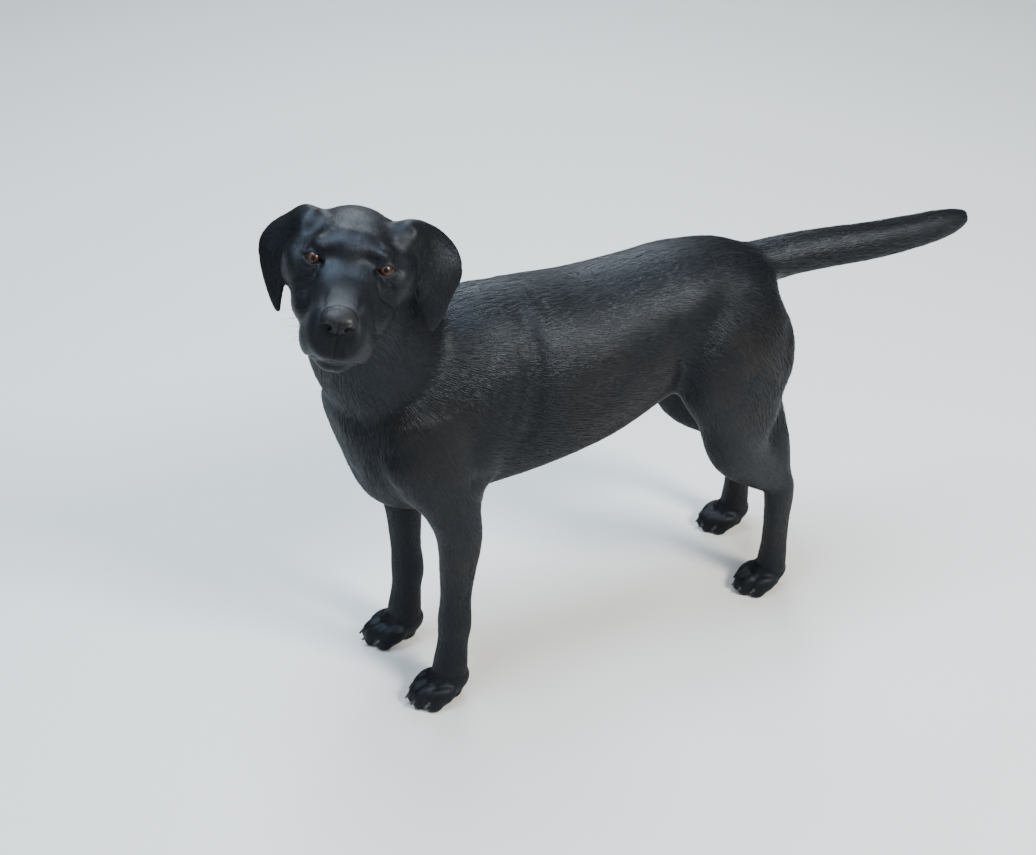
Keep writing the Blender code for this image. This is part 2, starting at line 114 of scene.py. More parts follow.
# Evenly spaced rows on a smooth curve through rows of numbers
def throughKeys(keys, count):
    keys = np.array(keys, float)
    last = len(keys) - 1
    place = np.linspace(0, last, count)
    k = np.minimum(place.astype(int), last - 1)
    u = (place - k)[:, None]
    padded = np.vstack([2 * keys[0] - keys[1], keys, 2 * keys[-1] - keys[-2]])
    p0, p1, p2, p3 = padded[k], padded[k + 1], padded[k + 2], padded[k + 3]
    return 0.5 * (2 * p1 + (p2 - p0) * u + (2 * p0 - 5 * p1 + 4 * p2 - p3) * u ** 2
                  + (3 * p1 - p0 - 3 * p2 + p3) * u ** 3)


def addBall(centre, radii, turn=None, segments=24):
    deselect()
    bpy.ops.mesh.primitive_uv_sphere_add(segments=segments, ring_count=segments // 2 + 2, radius=1.0)
    ball = bpy.context.object
    turn = (turn or Matrix.Identity(3)).to_4x4()
    ball.data.transform(Matrix.Translation(centre) @ turn @ Matrix.Diagonal((*radii, 1.0)))
    return ball


# A ball drawn out from start to end, width across and thick along out
def addMuscle(start, end, width, thick, out):
    start, end = Vector(start), Vector(end)
    along = (end - start).normalized()
    rise = Vector(out) - along * Vector(out).dot(along)
    rise.normalize()
    turn = Matrix((along.cross(rise), along, rise)).transposed()
    return addBall((start + end) / 2, (width, (end - start).length * 0.55, thick), turn)


# A closed skin over rounded sections: x, y, z, half width, reach up, reach down, and up where it changes
def addLoft(name, keys, rings, sides, square, up=None):
    if up is not None:
        keys = [(*key, *up) for key in keys]
    rows = throughKeys(keys, rings)
    along = np.gradient(rows[:, :3], axis=0)
    along /= np.linalg.norm(along, axis=1)[:, None]
    rise = rows[:, 6:9] - along * (rows[:, 6:9] * along).sum(1)[:, None]
    rise /= np.linalg.norm(rise, axis=1)[:, None]
    across = np.cross(rise, along)
    angle = 2 * math.pi * np.arange(sides) / sides
    c, s = np.cos(angle), np.sin(angle)
    reach = np.where(s > 0, np.maximum(rows[:, 4:5], 0.0015), np.maximum(rows[:, 5:6], 0.0015))
    wide = np.sign(c) * np.abs(c) ** (2 / square) * np.maximum(rows[:, 3:4], 0.0015)
    high = np.sign(s) * np.abs(s) ** (2 / square) * reach
    points = rows[:, None, :3] + across[:, None] * wide[..., None] + rise[:, None] * high[..., None]
    faces = []
    for ring in range(rings - 1):
        for side in range(sides):
            a, b = ring * sides + side, ring * sides + (side + 1) % sides
            faces.append((a, b, b + sides, a + sides))
    faces.append(tuple(reversed(range(sides))))
    faces.append(tuple(range((rings - 1) * sides, rings * sides)))
    piece = meshPiece(name, points.reshape(-1, 3).tolist(), faces)
    makeActive(piece)
    bpy.ops.object.mode_set(mode="EDIT")
    bpy.ops.mesh.select_all(action="SELECT")
    bpy.ops.mesh.normals_make_consistent(inside=False)
    bpy.ops.object.mode_set(mode="OBJECT")
    return piece


# Runs overlapping forms together into one soft closed form
def melt(pieces, name):
    grain, rounds = melting[name]
    piece = joinPieces(pieces, name)
    applyModifier(piece, "REMESH", mode="VOXEL", voxel_size=grain)
    applyModifier(piece, "SMOOTH", factor=0.5, iterations=rounds)
    return piece


body = {
    # y, top, height of the widest line, bottom, half width
    "trunk": [
        (-0.339, 0.464, 0.411, 0.368, 0.034),
        (-0.325, 0.502, 0.414, 0.328, 0.066),
        (-0.268, 0.545, 0.420, 0.284, 0.098),
        (-0.170, 0.582, 0.440, 0.296, 0.106),
        (-0.076, 0.581, 0.446, 0.307, 0.114),
        (0.017, 0.572, 0.455, 0.328, 0.115),
        (0.100, 0.575, 0.470, 0.363, 0.104),
        (0.183, 0.580, 0.485, 0.396, 0.093),
        (0.256, 0.569, 0.490, 0.410, 0.085),
        (0.306, 0.540, 0.490, 0.430, 0.061),
    ],
    # x, y, z, half width, reach upwards, reach downwards
    "neck": [
        (0.000, -0.114, 0.447, 0.090, 0.113, 0.118),
        (0.000, -0.198, 0.474, 0.090, 0.101, 0.126),
        (0.002, -0.252, 0.520, 0.082, 0.083, 0.112),
        (0.012, -0.292, 0.579, 0.074, 0.071, 0.096),
        (0.026, -0.306, 0.636, 0.066, 0.061, 0.074),
        (0.044, -0.311, 0.678, 0.053, 0.047, 0.051),
    ],
    "tail": [
        (0.000, 0.241, 0.523, 0.049, 0.039, 0.049),
        (0.003, 0.287, 0.530, 0.037, 0.029, 0.042),
        (0.010, 0.344, 0.537, 0.0310, 0.0275, 0.037),
        (0.019, 0.408, 0.539, 0.0290, 0.0265, 0.0355),
        (0.029, 0.475, 0.539, 0.0275, 0.0255, 0.0335),
        (0.036, 0.541, 0.541, 0.0255, 0.0240, 0.0300),
        (0.041, 0.597, 0.545, 0.0215, 0.0205, 0.0245),
        (0.043, 0.634, 0.549, 0.0120, 0.0115, 0.0135),
    ],
    "sheath": ((0, 0.062, 0.352), (0, 0.170, 0.386)),
}
frontLegs = {
    "left": {"side": 1, "elbow": (0.085, -0.201, 0.317), "wrist": (0.082, -0.215, 0.122),
             "ankle": (0.088, -0.225, 0.033), "paw": ((0.090, -0.234, 0.0), 4, 0.96)},
    "right": {"side": -1, "elbow": (-0.080, -0.222, 0.311), "wrist": (-0.067, -0.223, 0.119),
              "ankle": (-0.060, -0.232, 0.033), "paw": ((-0.060, -0.241, 0.0), -8, 0.96)},
}
hindLegs = {
    "left": {"side": 1, "hip": (0.058, 0.222, 0.490), "stifle": (0.090, 0.170, 0.336),
             "hock": (0.081, 0.316, 0.176), "ankle": (0.074, 0.322, 0.033),
             "paw": ((0.071, 0.313, 0.0), 2, 0.90)},
    "right": {"side": -1, "hip": (-0.058, 0.224, 0.486), "stifle": (-0.089, 0.179, 0.329),
              "hock": (-0.080, 0.350, 0.165), "ankle": (-0.091, 0.358, 0.033),
              "paw": ((-0.092, 0.348, 0.0), -3, 0.90)},
}
toes = [(-0.0245, -0.020, 10), (-0.0085, -0.034, 3), (0.0085, -0.034, -3), (0.0245, -0.020, -10)]
soleHeight = 0.0016                                   # how far above the floor the melted soles end


def trunkForm():
    rows = [(0, y, mid, half, top - mid, mid - bottom) for y, top, mid, bottom, half in body["trunk"]]
    return addLoft("trunkForm", rows, 40, 32, 2.25, (0, 0, 1))


def frontLegForms(leg):
    s = leg["side"]
    elbow, wrist, ankle = Vector(leg["elbow"]), Vector(leg["wrist"]), Vector(leg["ankle"])
    # x, y, z, half width, reach ahead, reach behind
    rows = [
        (s * 0.068, -0.242, 0.463, 0.039, 0.070, 0.058),
        (s * 0.080, -0.238, 0.392, 0.041, 0.064, 0.058),
        (elbow.x, elbow.y - 0.016, elbow.z + 0.010, 0.0355, 0.043, 0.040),
        (*elbow.lerp(wrist, 0.28), 0.0290, 0.0320, 0.0335),
        (*elbow.lerp(wrist, 0.55), 0.0240, 0.0268, 0.0280),
        (*elbow.lerp(wrist, 0.82), 0.0210, 0.0230, 0.0240),
        (*wrist, 0.0235, 0.0245, 0.0268),
        (*wrist.lerp(ankle, 0.35), 0.0215, 0.0222, 0.0232),
        (*wrist.lerp(ankle, 0.75), 0.0255, 0.0265, 0.0240),
        (*wrist.lerp(ankle, 1.05), 0.0260, 0.0300, 0.0230),
    ]
    bladeTop, shoulder = (s * 0.052, -0.157, 0.551), (s * 0.094, -0.292, 0.418)
    upperEnd = elbow + Vector((s * 0.004, 0.006, 0.010))
    chestEnd = elbow + Vector((-s * 0.006, -0.020, -0.005))
    armTop = elbow + Vector((s * 0.006, -0.020, 0))
    armEnd = elbow.lerp(wrist, 0.62) + Vector((s * 0.004, -0.008, 0))
    return [
        addLoft("frontLegForm", rows, 36, 24, 2.15, (0, -1, 0)),
        addMuscle(bladeTop, shoulder, 0.049, 0.023, (s, 0, 0.15)),                     # shoulder blade
        addMuscle((s * 0.092, -0.302, 0.416), (s * 0.094, -0.192, 0.343), 0.039, 0.025, (s, 0, 0)),
        addMuscle((s * 0.078, -0.150, 0.473), upperEnd, 0.037, 0.025, (s, 0, 0)),      # behind the upper arm
        addMuscle((s * 0.060, -0.270, 0.380), chestEnd, 0.034, 0.030, (0, -1, 0)),     # breast
        addMuscle(armTop, armEnd, 0.019, 0.019, (s, -1, 0)),                           # forearm
        addBall(elbow + Vector((0, 0.016, 0.010)), (0.017, 0.018, 0.022)),             # elbow
        addBall(wrist + Vector((0, 0.021, -0.018)), (0.009, 0.008, 0.011)),            # pad behind the wrist
    ]


def hindLegForms(leg):
    s = leg["side"]
    hip, stifle = Vector(leg["hip"]), Vector(leg["stifle"])
    hock, ankle = Vector(leg["hock"]), Vector(leg["ankle"])
    # x, y, z, half width, reach ahead, reach behind
    rows = [
        (s * 0.049, hip.y - 0.020, 0.527, 0.033, 0.068, 0.080),
        (s * 0.066, hip.y - 0.012, 0.470, 0.043, 0.084, 0.101),
        (s * 0.077, hip.y - 0.010, 0.405, 0.044, 0.078, 0.097),
        (stifle.x - s * 0.006, stifle.y + 0.053, stifle.z + 0.010, 0.039, 0.058, 0.078),
        (*(stifle.lerp(hock, 0.36) + Vector((0, 0.010, 0.004))), 0.0300, 0.046, 0.052),
        (*(stifle.lerp(hock, 0.68) + Vector((0, 0.004, 0.004))), 0.0225, 0.0310, 0.037),
        (hock.x, hock.y - 0.006, hock.z + 0.022, 0.0185, 0.0225, 0.0290),
        (*hock, 0.0205, 0.0230, 0.0260),
        (*hock.lerp(ankle, 0.33), 0.0185, 0.0205, 0.0225),
        (*hock.lerp(ankle, 0.62), 0.0190, 0.0210, 0.0215),
        (*hock.lerp(ankle, 0.88), 0.0230, 0.0240, 0.0210),
        (*hock.lerp(ankle, 1.04), 0.0230, 0.0270, 0.0200),
    ]
    return [
        addLoft("hindLegForm", rows, 42, 24, 2.15, (0, -1, 0)),
        addMuscle((s * 0.050, hip.y - 0.055, 0.545), (s * 0.083, stifle.y + 0.058, 0.400),
                  0.050, 0.031, (s, 0, 0.1)),                                          # hip
        addMuscle((s * 0.058, hip.y + 0.066, 0.492), (s * 0.086, stifle.y + 0.104, 0.350),
                  0.044, 0.033, (s, 0, 0)),                                            # back of the thigh
        addMuscle((s * 0.068, stifle.y + 0.020, 0.438), stifle + Vector((0, 0.012, -0.004)),
                  0.033, 0.033, (s, 0, 0)),                                            # front of the thigh
        addMuscle(hock + Vector((0, 0.012, 0.012)), (s * 0.080, hip.y + 0.060, 0.390),
                  0.019, 0.014, (s, 0, 0)),                                            # above the hock
        addBall(hock + Vector((0, 0.015, 0.012)), (0.0120, 0.013, 0.018)),             # point of the hock
    ]


def pawPlace(leg):
    centre, heading, scale = leg["paw"]
    turn = Matrix.Rotation(math.radians(heading), 4, "Z")
    return Matrix.Translation(centre) @ turn @ Matrix.Scale(scale, 4)


# Instep, heel pad and four toes with their pads. Toes point along the paw's -Y
def pawForms(leg):
    forms = [
        addBall((0, 0.004, 0.030), (0.0275, 0.035, 0.025), Matrix.Rotation(math.radians(10), 3, "X")),
        addBall((0, 0.006, 0.010), (0.022, 0.020, 0.013)),
    ]
    for x, y, fan in toes:
        spread = Matrix.Rotation(math.radians(fan), 3, "Z")
        knuckle = spread @ Matrix.Rotation(math.radians(14), 3, "X")
        forms.append(addBall((x, y, 0.0205), (0.0110, 0.0250, 0.0160), knuckle))
        forms.append(addBall((x * 1.04, y - 0.011, 0.0110), (0.0100, 0.0140, 0.0125), spread))
    for form in forms:
        form.data.transform(pawPlace(leg))
    return forms


headPose = {"middle": (0.1076, -0.3483, 0.7152), "yaw": 65.6, "pitch": 10.5, "roll": 11.0, "scale": 1.015}
headShape = {
    # y, top, bottom, half width
    "muzzle": [
        (0.055, 0.032, -0.074, 0.057),
        (0.018, 0.020, -0.080, 0.0510),
        (-0.012, 0.000, -0.084, 0.0425),
        (-0.041, -0.011, -0.087, 0.0375),
        (-0.072, -0.015, -0.088, 0.0365),
        (-0.096, -0.017, -0.084, 0.0350),
        (-0.111, -0.024, -0.075, 0.0270),
    ],
    "jaw": [
        (0.070, -0.042, -0.092, 0.042),
        (0.030, -0.052, -0.104, 0.036),
        (-0.020, -0.066, -0.108, 0.029),
        (-0.054, -0.074, -0.106, 0.0255),
        (-0.081, -0.079, -0.102, 0.0190),
    ],
}
# x, y, z, half thickness, half width, then the way that the width runs
ears = {
    "left": [
        (0.038, 0.070, 0.026, 0.0080, 0.020, 0.25, 0.95, -0.05),
        (0.060, 0.072, 0.043, 0.0065, 0.027, 0.40, 0.90, -0.12),
        (0.080, 0.071, 0.037, 0.0052, 0.030, 0.60, 0.78, -0.25),
        (0.094, 0.067, 0.017, 0.0048, 0.037, 0.80, 0.58, -0.20),
        (0.104, 0.062, -0.007, 0.0046, 0.036, 0.85, 0.50, 0.05),
        (0.106, 0.056, -0.032, 0.0044, 0.026, 0.85, 0.50, 0.12),
        (0.108, 0.051, -0.058, 0.0040, 0.015, 0.85, 0.50, 0.12),
        (0.108, 0.048, -0.078, 0.0028, 0.004, 0.85, 0.50, 0.12),
    ],
    "right": [
        (-0.038, 0.070, 0.026, 0.0080, 0.020, -0.25, 0.95, -0.05),
        (-0.057, 0.071, 0.040, 0.0065, 0.025, -0.40, 0.90, -0.20),
        (-0.076, 0.068, 0.025, 0.0052, 0.027, -0.56, 0.80, -0.34),
        (-0.088, 0.062, 0.006, 0.0048, 0.030, -0.70, 0.68, -0.20),
        (-0.091, 0.054, -0.012, 0.0046, 0.028, -0.72, 0.68, 0.05),
        (-0.087, 0.045, -0.038, 0.0044, 0.021, -0.72, 0.68, 0.10),
        (-0.081, 0.036, -0.062, 0.0040, 0.012, -0.72, 0.68, 0.10),
        (-0.075, 0.030, -0.079, 0.0028, 0.004, -0.72, 0.68, 0.10),
    ],
}


def headPlace():
    turn = Matrix.Rotation(math.radians(headPose["yaw"]), 4, "Z")
    tilt = Matrix.Rotation(math.radians(-headPose["pitch"]), 4, "X")
    roll = Matrix.Rotation(math.radians(headPose["roll"]), 4, "Y")
    return Matrix.Translation(headPose["middle"]) @ turn @ tilt @ roll @ Matrix.Scale(headPose["scale"], 4)


def headForms():
    forms = []

    def add(centre, radii, turn=(0, 0, 0)):
        forms.append(addBall(centre, radii, Euler([math.radians(angle) for angle in turn]).to_matrix()))

    add((0, 0.066, 0.004), (0.060, 0.076, 0.050))           # cranium
    add((0, 0.030, 0.018), (0.046, 0.040, 0.028))           # forehead
    add((0, 0.104, -0.028), (0.050, 0.054, 0.054))          # nape
    add((0, 0.118, -0.075), (0.056, 0.052, 0.080))          # top of the neck
    for s in (-1, 1):
        add((s * 0.028, 0.016, 0.017), (0.022, 0.024, 0.0155), (0, 0, s * 14))   # brow
        add((s * 0.050, 0.052, -0.014), (0.030, 0.053, 0.043), (0, 0, s * 8))    # cheek
        add((s * 0.040, 0.092, -0.004), (0.030, 0.042, 0.042))                   # back of the skull
        add((s * 0.054, 0.066, 0.021), (0.020, 0.032, 0.024), (0, s * 30, 0))    # root of the ear
        add((s * 0.0265, -0.060, -0.066), (0.0160, 0.040, 0.027), (0, 0, s * 4))  # hanging lip
        add((s * 0.031, -0.027, -0.069), (0.0150, 0.034, 0.021))                 # lip at its corner
        add((s * 0.041, 0.014, -0.050), (0.0230, 0.052, 0.027))                  # jaw below the cheek
        add((s * 0.056, 0.060, 0.030), (0.0220, 0.030, 0.0170), (0, s * 18, 0))  # fold before the ear
    for name, square in (("muzzle", 2.6), ("jaw", 2.4)):
        rows = [(0, y, (top + bottom) / 2, half, (top - bottom) / 2, (top - bottom) / 2)
                for y, top, bottom, half in headShape[name]]
        forms.append(addLoft(name + "Form", rows, 24, 28, square, (0, 0, 1)))
    return forms


def earForm(side):
    rows = [(x, y, z, thick, half, half, *way) for x, y, z, thick, half, *way in ears[side]]
    ear = addLoft("earForm", rows, 40, 24, 2.0)
    ear.data.transform(headPlace())
    return ear


# Grain and rounds of smoothing each time that forms run together
melting = {"trunkMelt": (0.005, 14), "headMelt": (0.0028, 18), "fleshMelt": (0.004, 3),
           "pawsMelt": (0.002, 5), "skin": (0.0021, 6)}


# The whole animal to the tips of its coat, as one closed form
def fleshForm():
    allLegs = [*frontLegs.values(), *hindLegs.values()]
    forms = [
        trunkForm(),
        addLoft("neckForm", body["neck"], 20, 28, 2.1, (-0.25, 0.5, 1)),
        addMuscle(*body["sheath"], 0.017, 0.019, (0, 0, -1)),
        addLoft("tailForm", body["tail"], 30, 20, 2.0, (0, 0, 1)),
    ]
    for leg in frontLegs.values():
        forms += frontLegForms(leg)
    for leg in hindLegs.values():
        forms += hindLegForms(leg)
    trunk = melt(forms, "trunkMelt")
    head = melt(headForms(), "headMelt")
    head.data.transform(headPlace())
    flesh = melt([trunk, head], "fleshMelt")
    paws = melt([form for leg in allLegs for form in pawForms(leg)], "pawsMelt")
    return melt([flesh, paws, earForm("left"), earForm("right")], "skin")


skin = fleshForm()
print("skin formed:", len(skin.data.polygons), "faces")


# Distance from each point to a line through a few places, and how far along it, 0 to 1
def distanceToLine(points, line):
    best = np.full(len(points), 1e9)
    along = np.zeros(len(points))
    for k, (a, b) in enumerate(zip(line, line[1:])):
        step = b - a
        t = np.clip(((points - a) @ step) / max(step @ step, 1e-12), 0, 1)
        gap = np.linalg.norm(points - a - t[:, None] * step, axis=1)
        nearer = gap < best
        best[nearer] = gap[nearer]
        along[nearer] = (k + t[nearer]) / (len(line) - 1)
    return best, along


# Picks the points that a mark could touch, so that the rest cost nothing
def near(points, centre, reach):
    return np.where((np.abs(points - np.array(centre)) < np.array(reach)).all(1))[0]


# Brings places to the nearest points of the skin
def ontoSkin(points, places):
    places = np.array(places, float)
    low, high = places.min(0), places.max(0)
    picked = points[near(points, (high + low) / 2, (high - low) / 2 + 0.015)]
    for i, place in enumerate(places):
        places[i] = picked[np.argmin(((picked - place) ** 2).sum(1))]
    for _ in range(3):
        places[1:-1] = (places[:-2] + 2 * places[1:-1] + places[2:]) / 4
    return places


def push(points, normals, centre, radii, amount):
    centre = ontoSkin(points, [centre])[0]
    picked = near(points, centre, np.array(radii) * 2.6)
    away = (points[picked] - np.array(centre)) / np.array(radii)
    points[picked] += normals[picked] * (amount * np.exp(-(away ** 2).sum(1)))[:, None]


# Sinks a line into the surface, fading at both ends
def crease(points, normals, line, width, depth):
    line = throughKeys(ontoSkin(points, throughKeys(line, 3 * len(line))), 10 * len(line))
    reach = (line.max(0) - line.min(0)) / 2 + width * 4
    picked = near(points, (line.max(0) + line.min(0)) / 2, reach)
    gap, along = distanceToLine(points[picked], line)
    fade = smoothStep(along, 0, 0.2) * (1 - smoothStep(along, 0.8, 1)) * 0.9 + 0.1
    points[picked] -= normals[picked] * (depth * fade * np.exp(-(gap / width) ** 2))[:, None]


# Presses the swellings and the creases of one table into the skin
def pressMarks(points, normals, marks, sides=(-1, 1)):
    for s in sides:
        side = np.array((s, 1, 1))
        for centre, radii, amount in marks["pushes"]:
            push(points, normals, side * centre, radii, amount)
        for line, width, depth in marks["creases"]:
            crease(points, normals, np.array(line) * side, width, depth)


# Splits the faces near some places of the head once more
def refine(piece, centres):
    middles = np.zeros(len(piece.data.polygons) * 3)
    piece.data.polygons.foreach_get("center", middles)
    middles = moved(middles.reshape(-1, 3), headPlace().inverted())
    picked = np.zeros(len(middles), bool)
    for centre, radius in centres:
        picked |= np.linalg.norm(middles - np.array(centre), axis=1) < radius
    bm = bmesh.new()
    bm.from_mesh(piece.data)
    bm.faces.ensure_lookup_table()
    bm.edges.ensure_lookup_table()
    split = sorted({edge.index for index in np.where(picked)[0] for edge in bm.faces[int(index)].edges})
    bmesh.ops.subdivide_edges(bm, edges=[bm.edges[index] for index in split], cuts=1, use_grid_fill=True)
    bm.to_mesh(piece.data)
    bm.free()


nose = {"centre": (0.0, -0.1025, -0.0335), "radii": (0.0220, 0.0150, 0.0163), "square": 0.92,
        "narrowing": 0.30, "topBack": 0.22}
eyes = {"spacing": 0.083, "depth": 0.0105, "radius": 0.0125, "halfLength": 0.0106, "upper": 0.0070,
        "lower": 0.0064, "behind": 0.0030, "edge": 0.0004, "lid": 0.0013, "outward": 15.0, "upward": 5.0,
        "slant": 7.0}


def eyeCentre(s):
    return Vector((s * eyes["spacing"] / 2, eyes["depth"], 0.0))


# Across to the outer corner, up, and straight out of the lids of one eye
def lidAxes(s):
    out, up = math.radians(eyes["outward"]), math.radians(eyes["upward"])
    ahead = Vector((s * math.sin(out) * math.cos(up), -math.cos(out) * math.cos(up), math.sin(up)))
    across = Vector((0, 0, 1)).cross(ahead).normalized() * s
    across = across if across.x * s > 0 else -across
    rise = Vector((0, 0, 1)) - ahead * ahead.z
    rise.normalize()
    slant = math.radians(eyes["slant"])
    return (across * math.cos(slant) + rise * math.sin(slant),
            rise * math.cos(slant) - across * math.sin(slant), ahead)


# How far a point lies outside the opening between the lids, negative inside
def almondGap(u, v):
    half = eyes["halfLength"]
    t = np.clip(np.abs(u) / half, 0, 1)
    height = np.where(v > 0, eyes["upper"], eyes["lower"]) * (1 - t ** 2.1) ** 0.85
    slope = height / half * t * 1.8
    inside = (np.abs(v) - height) / np.sqrt(1 + slope ** 2)
    return np.where(np.abs(u) > half, np.hypot(np.abs(u) - half, v), inside)


# Sinks the skin behind the eyeball in the opening, and lays lids over the ball round it
def shapeLids(points, s):
    axes = np.array(lidAxes(s))
    centre, radius = np.array(eyeCentre(s)), eyes["radius"]
    picked = near(points, centre, (0.030, 0.030, 0.030))
    local = (points[picked] - centre) @ axes.T
    u, v, w = local.T
    flat = np.hypot(u, v)
    front = (w > -0.006) & (flat < 0.027)
    gap = almondGap(u, v)
    # behind the ball in the opening, just before it at the edge, and a lid's thickness off beyond
    off = (eyes["behind"] + eyes["edge"]) * smoothStep(gap, -0.0009, -0.0001) - eyes["behind"]
    off = off + (eyes["lid"] - eyes["edge"]) * smoothStep(gap, -0.0002, 0.0012)
    shell = radius + off
    edge = np.clip(flat - np.maximum(gap - 0.0014, 0), 0, radius * 0.9)
    ball = np.sqrt(np.maximum(shell ** 2 - edge ** 2, 1e-6))
    keep = smoothStep(gap, 0.0010, 0.0085)
    target = ball * (1 - keep) + w * keep
    w = np.where(front, target, w)
    points[picked] = np.stack([u, v, w], 1) @ axes + centre


halfMouth = [(0.000, -0.107, -0.0835), (0.014, -0.103, -0.088), (0.027, -0.091, -0.092),
             (0.034, -0.068, -0.0945), (0.038, -0.045, -0.091), (0.042, -0.020, -0.081),
             (0.046, -0.004, -0.070), (0.050, 0.010, -0.064)]
mouth = [(-x, y, z) for x, y, z in halfMouth[:0:-1]] + halfMouth
faceMarks = {
    # centre, radii, how far out
    "pushes": [
        ((0.037, 0.000, 0.0190), (0.015, 0.014, 0.0085), 0.0018),     # brow
        ((0.0215, -0.004, 0.0125), (0.0100, 0.014, 0.0100), -0.0030),   # hollow at the inner corner
        ((0.058, 0.020, 0.004), (0.010, 0.014, 0.0120), -0.0016),      # hollow behind the outer corner
        ((0.042, -0.004, -0.0195), (0.016, 0.014, 0.0060), 0.0014),    # pouch below the eye
        ((0.055, 0.036, 0.026), (0.016, 0.022, 0.0160), -0.0030),      # temple
        ((0.060, 0.034, -0.012), (0.016, 0.022, 0.0120), 0.0022),      # cheekbone
        ((0.077, 0.056, -0.032), (0.016, 0.030, 0.0160), 0.0045),      # cheek under the ear
        ((0.034, -0.078, -0.056), (0.017, 0.026, 0.0200), 0.0034),     # whisker pad
        ((0.026, -0.050, -0.022), (0.010, 0.022, 0.0080), -0.0016),    # side of the bridge
        ((0.036, -0.040, -0.080), (0.010, 0.022, 0.0100), 0.0030),     # hanging lip
        ((0.010, -0.104, -0.070), (0.010, 0.010, 0.0110), 0.0016),     # upper lip beside the midline
    ],
    # line, width, depth
    "creases": [
        (((0.030, -0.010, -0.010), (0.034, -0.014, -0.022), (0.042, -0.010, -0.036), (0.052, 0.002, -0.045)),
         0.0030, 0.0016),                                              # fold from the inner corner
        (((0.050, -0.002, -0.012), (0.056, 0.004, -0.026), (0.057, 0.010, -0.040)), 0.0032, 0.0013),
        (((0.050, 0.004, -0.058), (0.062, 0.030, -0.052), (0.066, 0.052, -0.040)), 0.0034, 0.0018),
        (((0.024, -0.002, 0.014), (0.036, -0.004, 0.0135), (0.048, 0.004, 0.011)), 0.0024, 0.0006),
        (((0.030, 0.040, -0.100), (0.045, 0.060, -0.088), (0.054, 0.085, -0.066)), 0.0050, 0.0024),
        (((0.019, -0.098, -0.022), (0.023, -0.072, -0.020), (0.023, -0.045, -0.017)), 0.0040, 0.0010),
    ],
}
midlineMarks = {
    "pushes": [
        ((0.0, -0.092, -0.101), (0.016, 0.014, 0.0090), 0.0050),       # chin
        ((0.0, 0.010, 0.034), (0.010, 0.022, 0.0160), -0.0016),        # furrow up the forehead
        ((0.0, -0.020, 0.000), (0.012, 0.012, 0.0100), -0.0014),       # stop
    ],
    "creases": [
        (mouth, 0.0022, 0.0044),
        (((0, -0.118, -0.048), (0, -0.116, -0.062), (0, -0.112, -0.078)), 0.0020, 0.0016),   # below the nose
        (((0, -0.100, -0.108), (0, -0.080, -0.112), (0, -0.050, -0.112)), 0.0030, 0.0010),
    ],
}
bodyMarks = {
    "pushes": [
        ((0.112, -0.165, 0.455), (0.040, 0.036, 0.060), 0.0035),       # shoulder
        ((0.116, -0.205, 0.280), (0.020, 0.022, 0.050), 0.0022),       # outside of the forearm
        ((0.075, 0.165, 0.545), (0.030, 0.030, 0.025), 0.0030),        # point of the hip
        ((0.100, 0.225, 0.440), (0.030, 0.045, 0.060), 0.0025),        # thigh
    ],
    "creases": [
        (((0.030, -0.109, 0.575), (0.053, -0.099, 0.565), (0.079, -0.095, 0.545), (0.095, -0.095, 0.520),
          (0.105, -0.098, 0.492), (0.109, -0.101, 0.460), (0.108, -0.109, 0.425), (0.105, -0.122, 0.401),
          (0.101, -0.141, 0.388)), 0.0120, 0.0034),                    # behind the shoulder
        (((0.052, -0.117, 0.566), (0.075, -0.114, 0.549), (0.092, -0.113, 0.522), (0.103, -0.113, 0.490),
          (0.107, -0.124, 0.465), (0.107, -0.136, 0.438), (0.105, -0.143, 0.412)), 0.0075, 0.0017),
        (((0.092, -0.215, 0.365), (0.098, -0.185, 0.362), (0.095, -0.160, 0.352)),
         0.0110, 0.0040),                                              # above the elbow
        (((0.020, -0.066, 0.574), (0.045, -0.066, 0.566), (0.072, -0.062, 0.551)), 0.0070, 0.0014),
        (((0.112, -0.047, 0.467), (0.112, -0.005, 0.476), (0.110, 0.029, 0.479), (0.106, 0.058, 0.482),
          (0.102, 0.090, 0.484)), 0.0130, 0.0022),                     # under the ribs
        (((0.088, 0.122, 0.530), (0.096, 0.122, 0.490), (0.099, 0.126, 0.450), (0.100, 0.135, 0.410),
          (0.098, 0.142, 0.375)), 0.0130, 0.0042),                     # before the thigh
        (((0.070, 0.300, 0.470), (0.088, 0.292, 0.420), (0.092, 0.285, 0.370)),
         0.0110, 0.0022),                                              # back of the thigh
        (((0.096, -0.205, 0.240), (0.104, -0.200, 0.200), (0.100, -0.203, 0.160)), 0.0060, 0.0012),
    ],
}


# Adds the folds of the face and the lids, in the head's own frame
def sculptHead(piece):
    place = headPlace()
    points = moved(readPoints(piece), place.inverted())
    turn = np.array(place.to_3x3().normalized())
    normals = readNormals(piece) @ turn
    pressMarks(points, normals, faceMarks)
    pressMarks(points, normals, midlineMarks, (1,))
    for s in (-1, 1):
        shapeLids(points, s)
    writePoints(piece, moved(points, place))


# Adds the folds behind the shoulders and before the thighs, in the dog's frame
def sculptBody(piece):
    points = readPoints(piece)
    pressMarks(points, readNormals(piece), bodyMarks)
    writePoints(piece, points)


bareness = {"sole": (0.0015, 0.0040), "lid": (0.0004, 0.0014), "lip": 0.0026, "nose": 0.99}


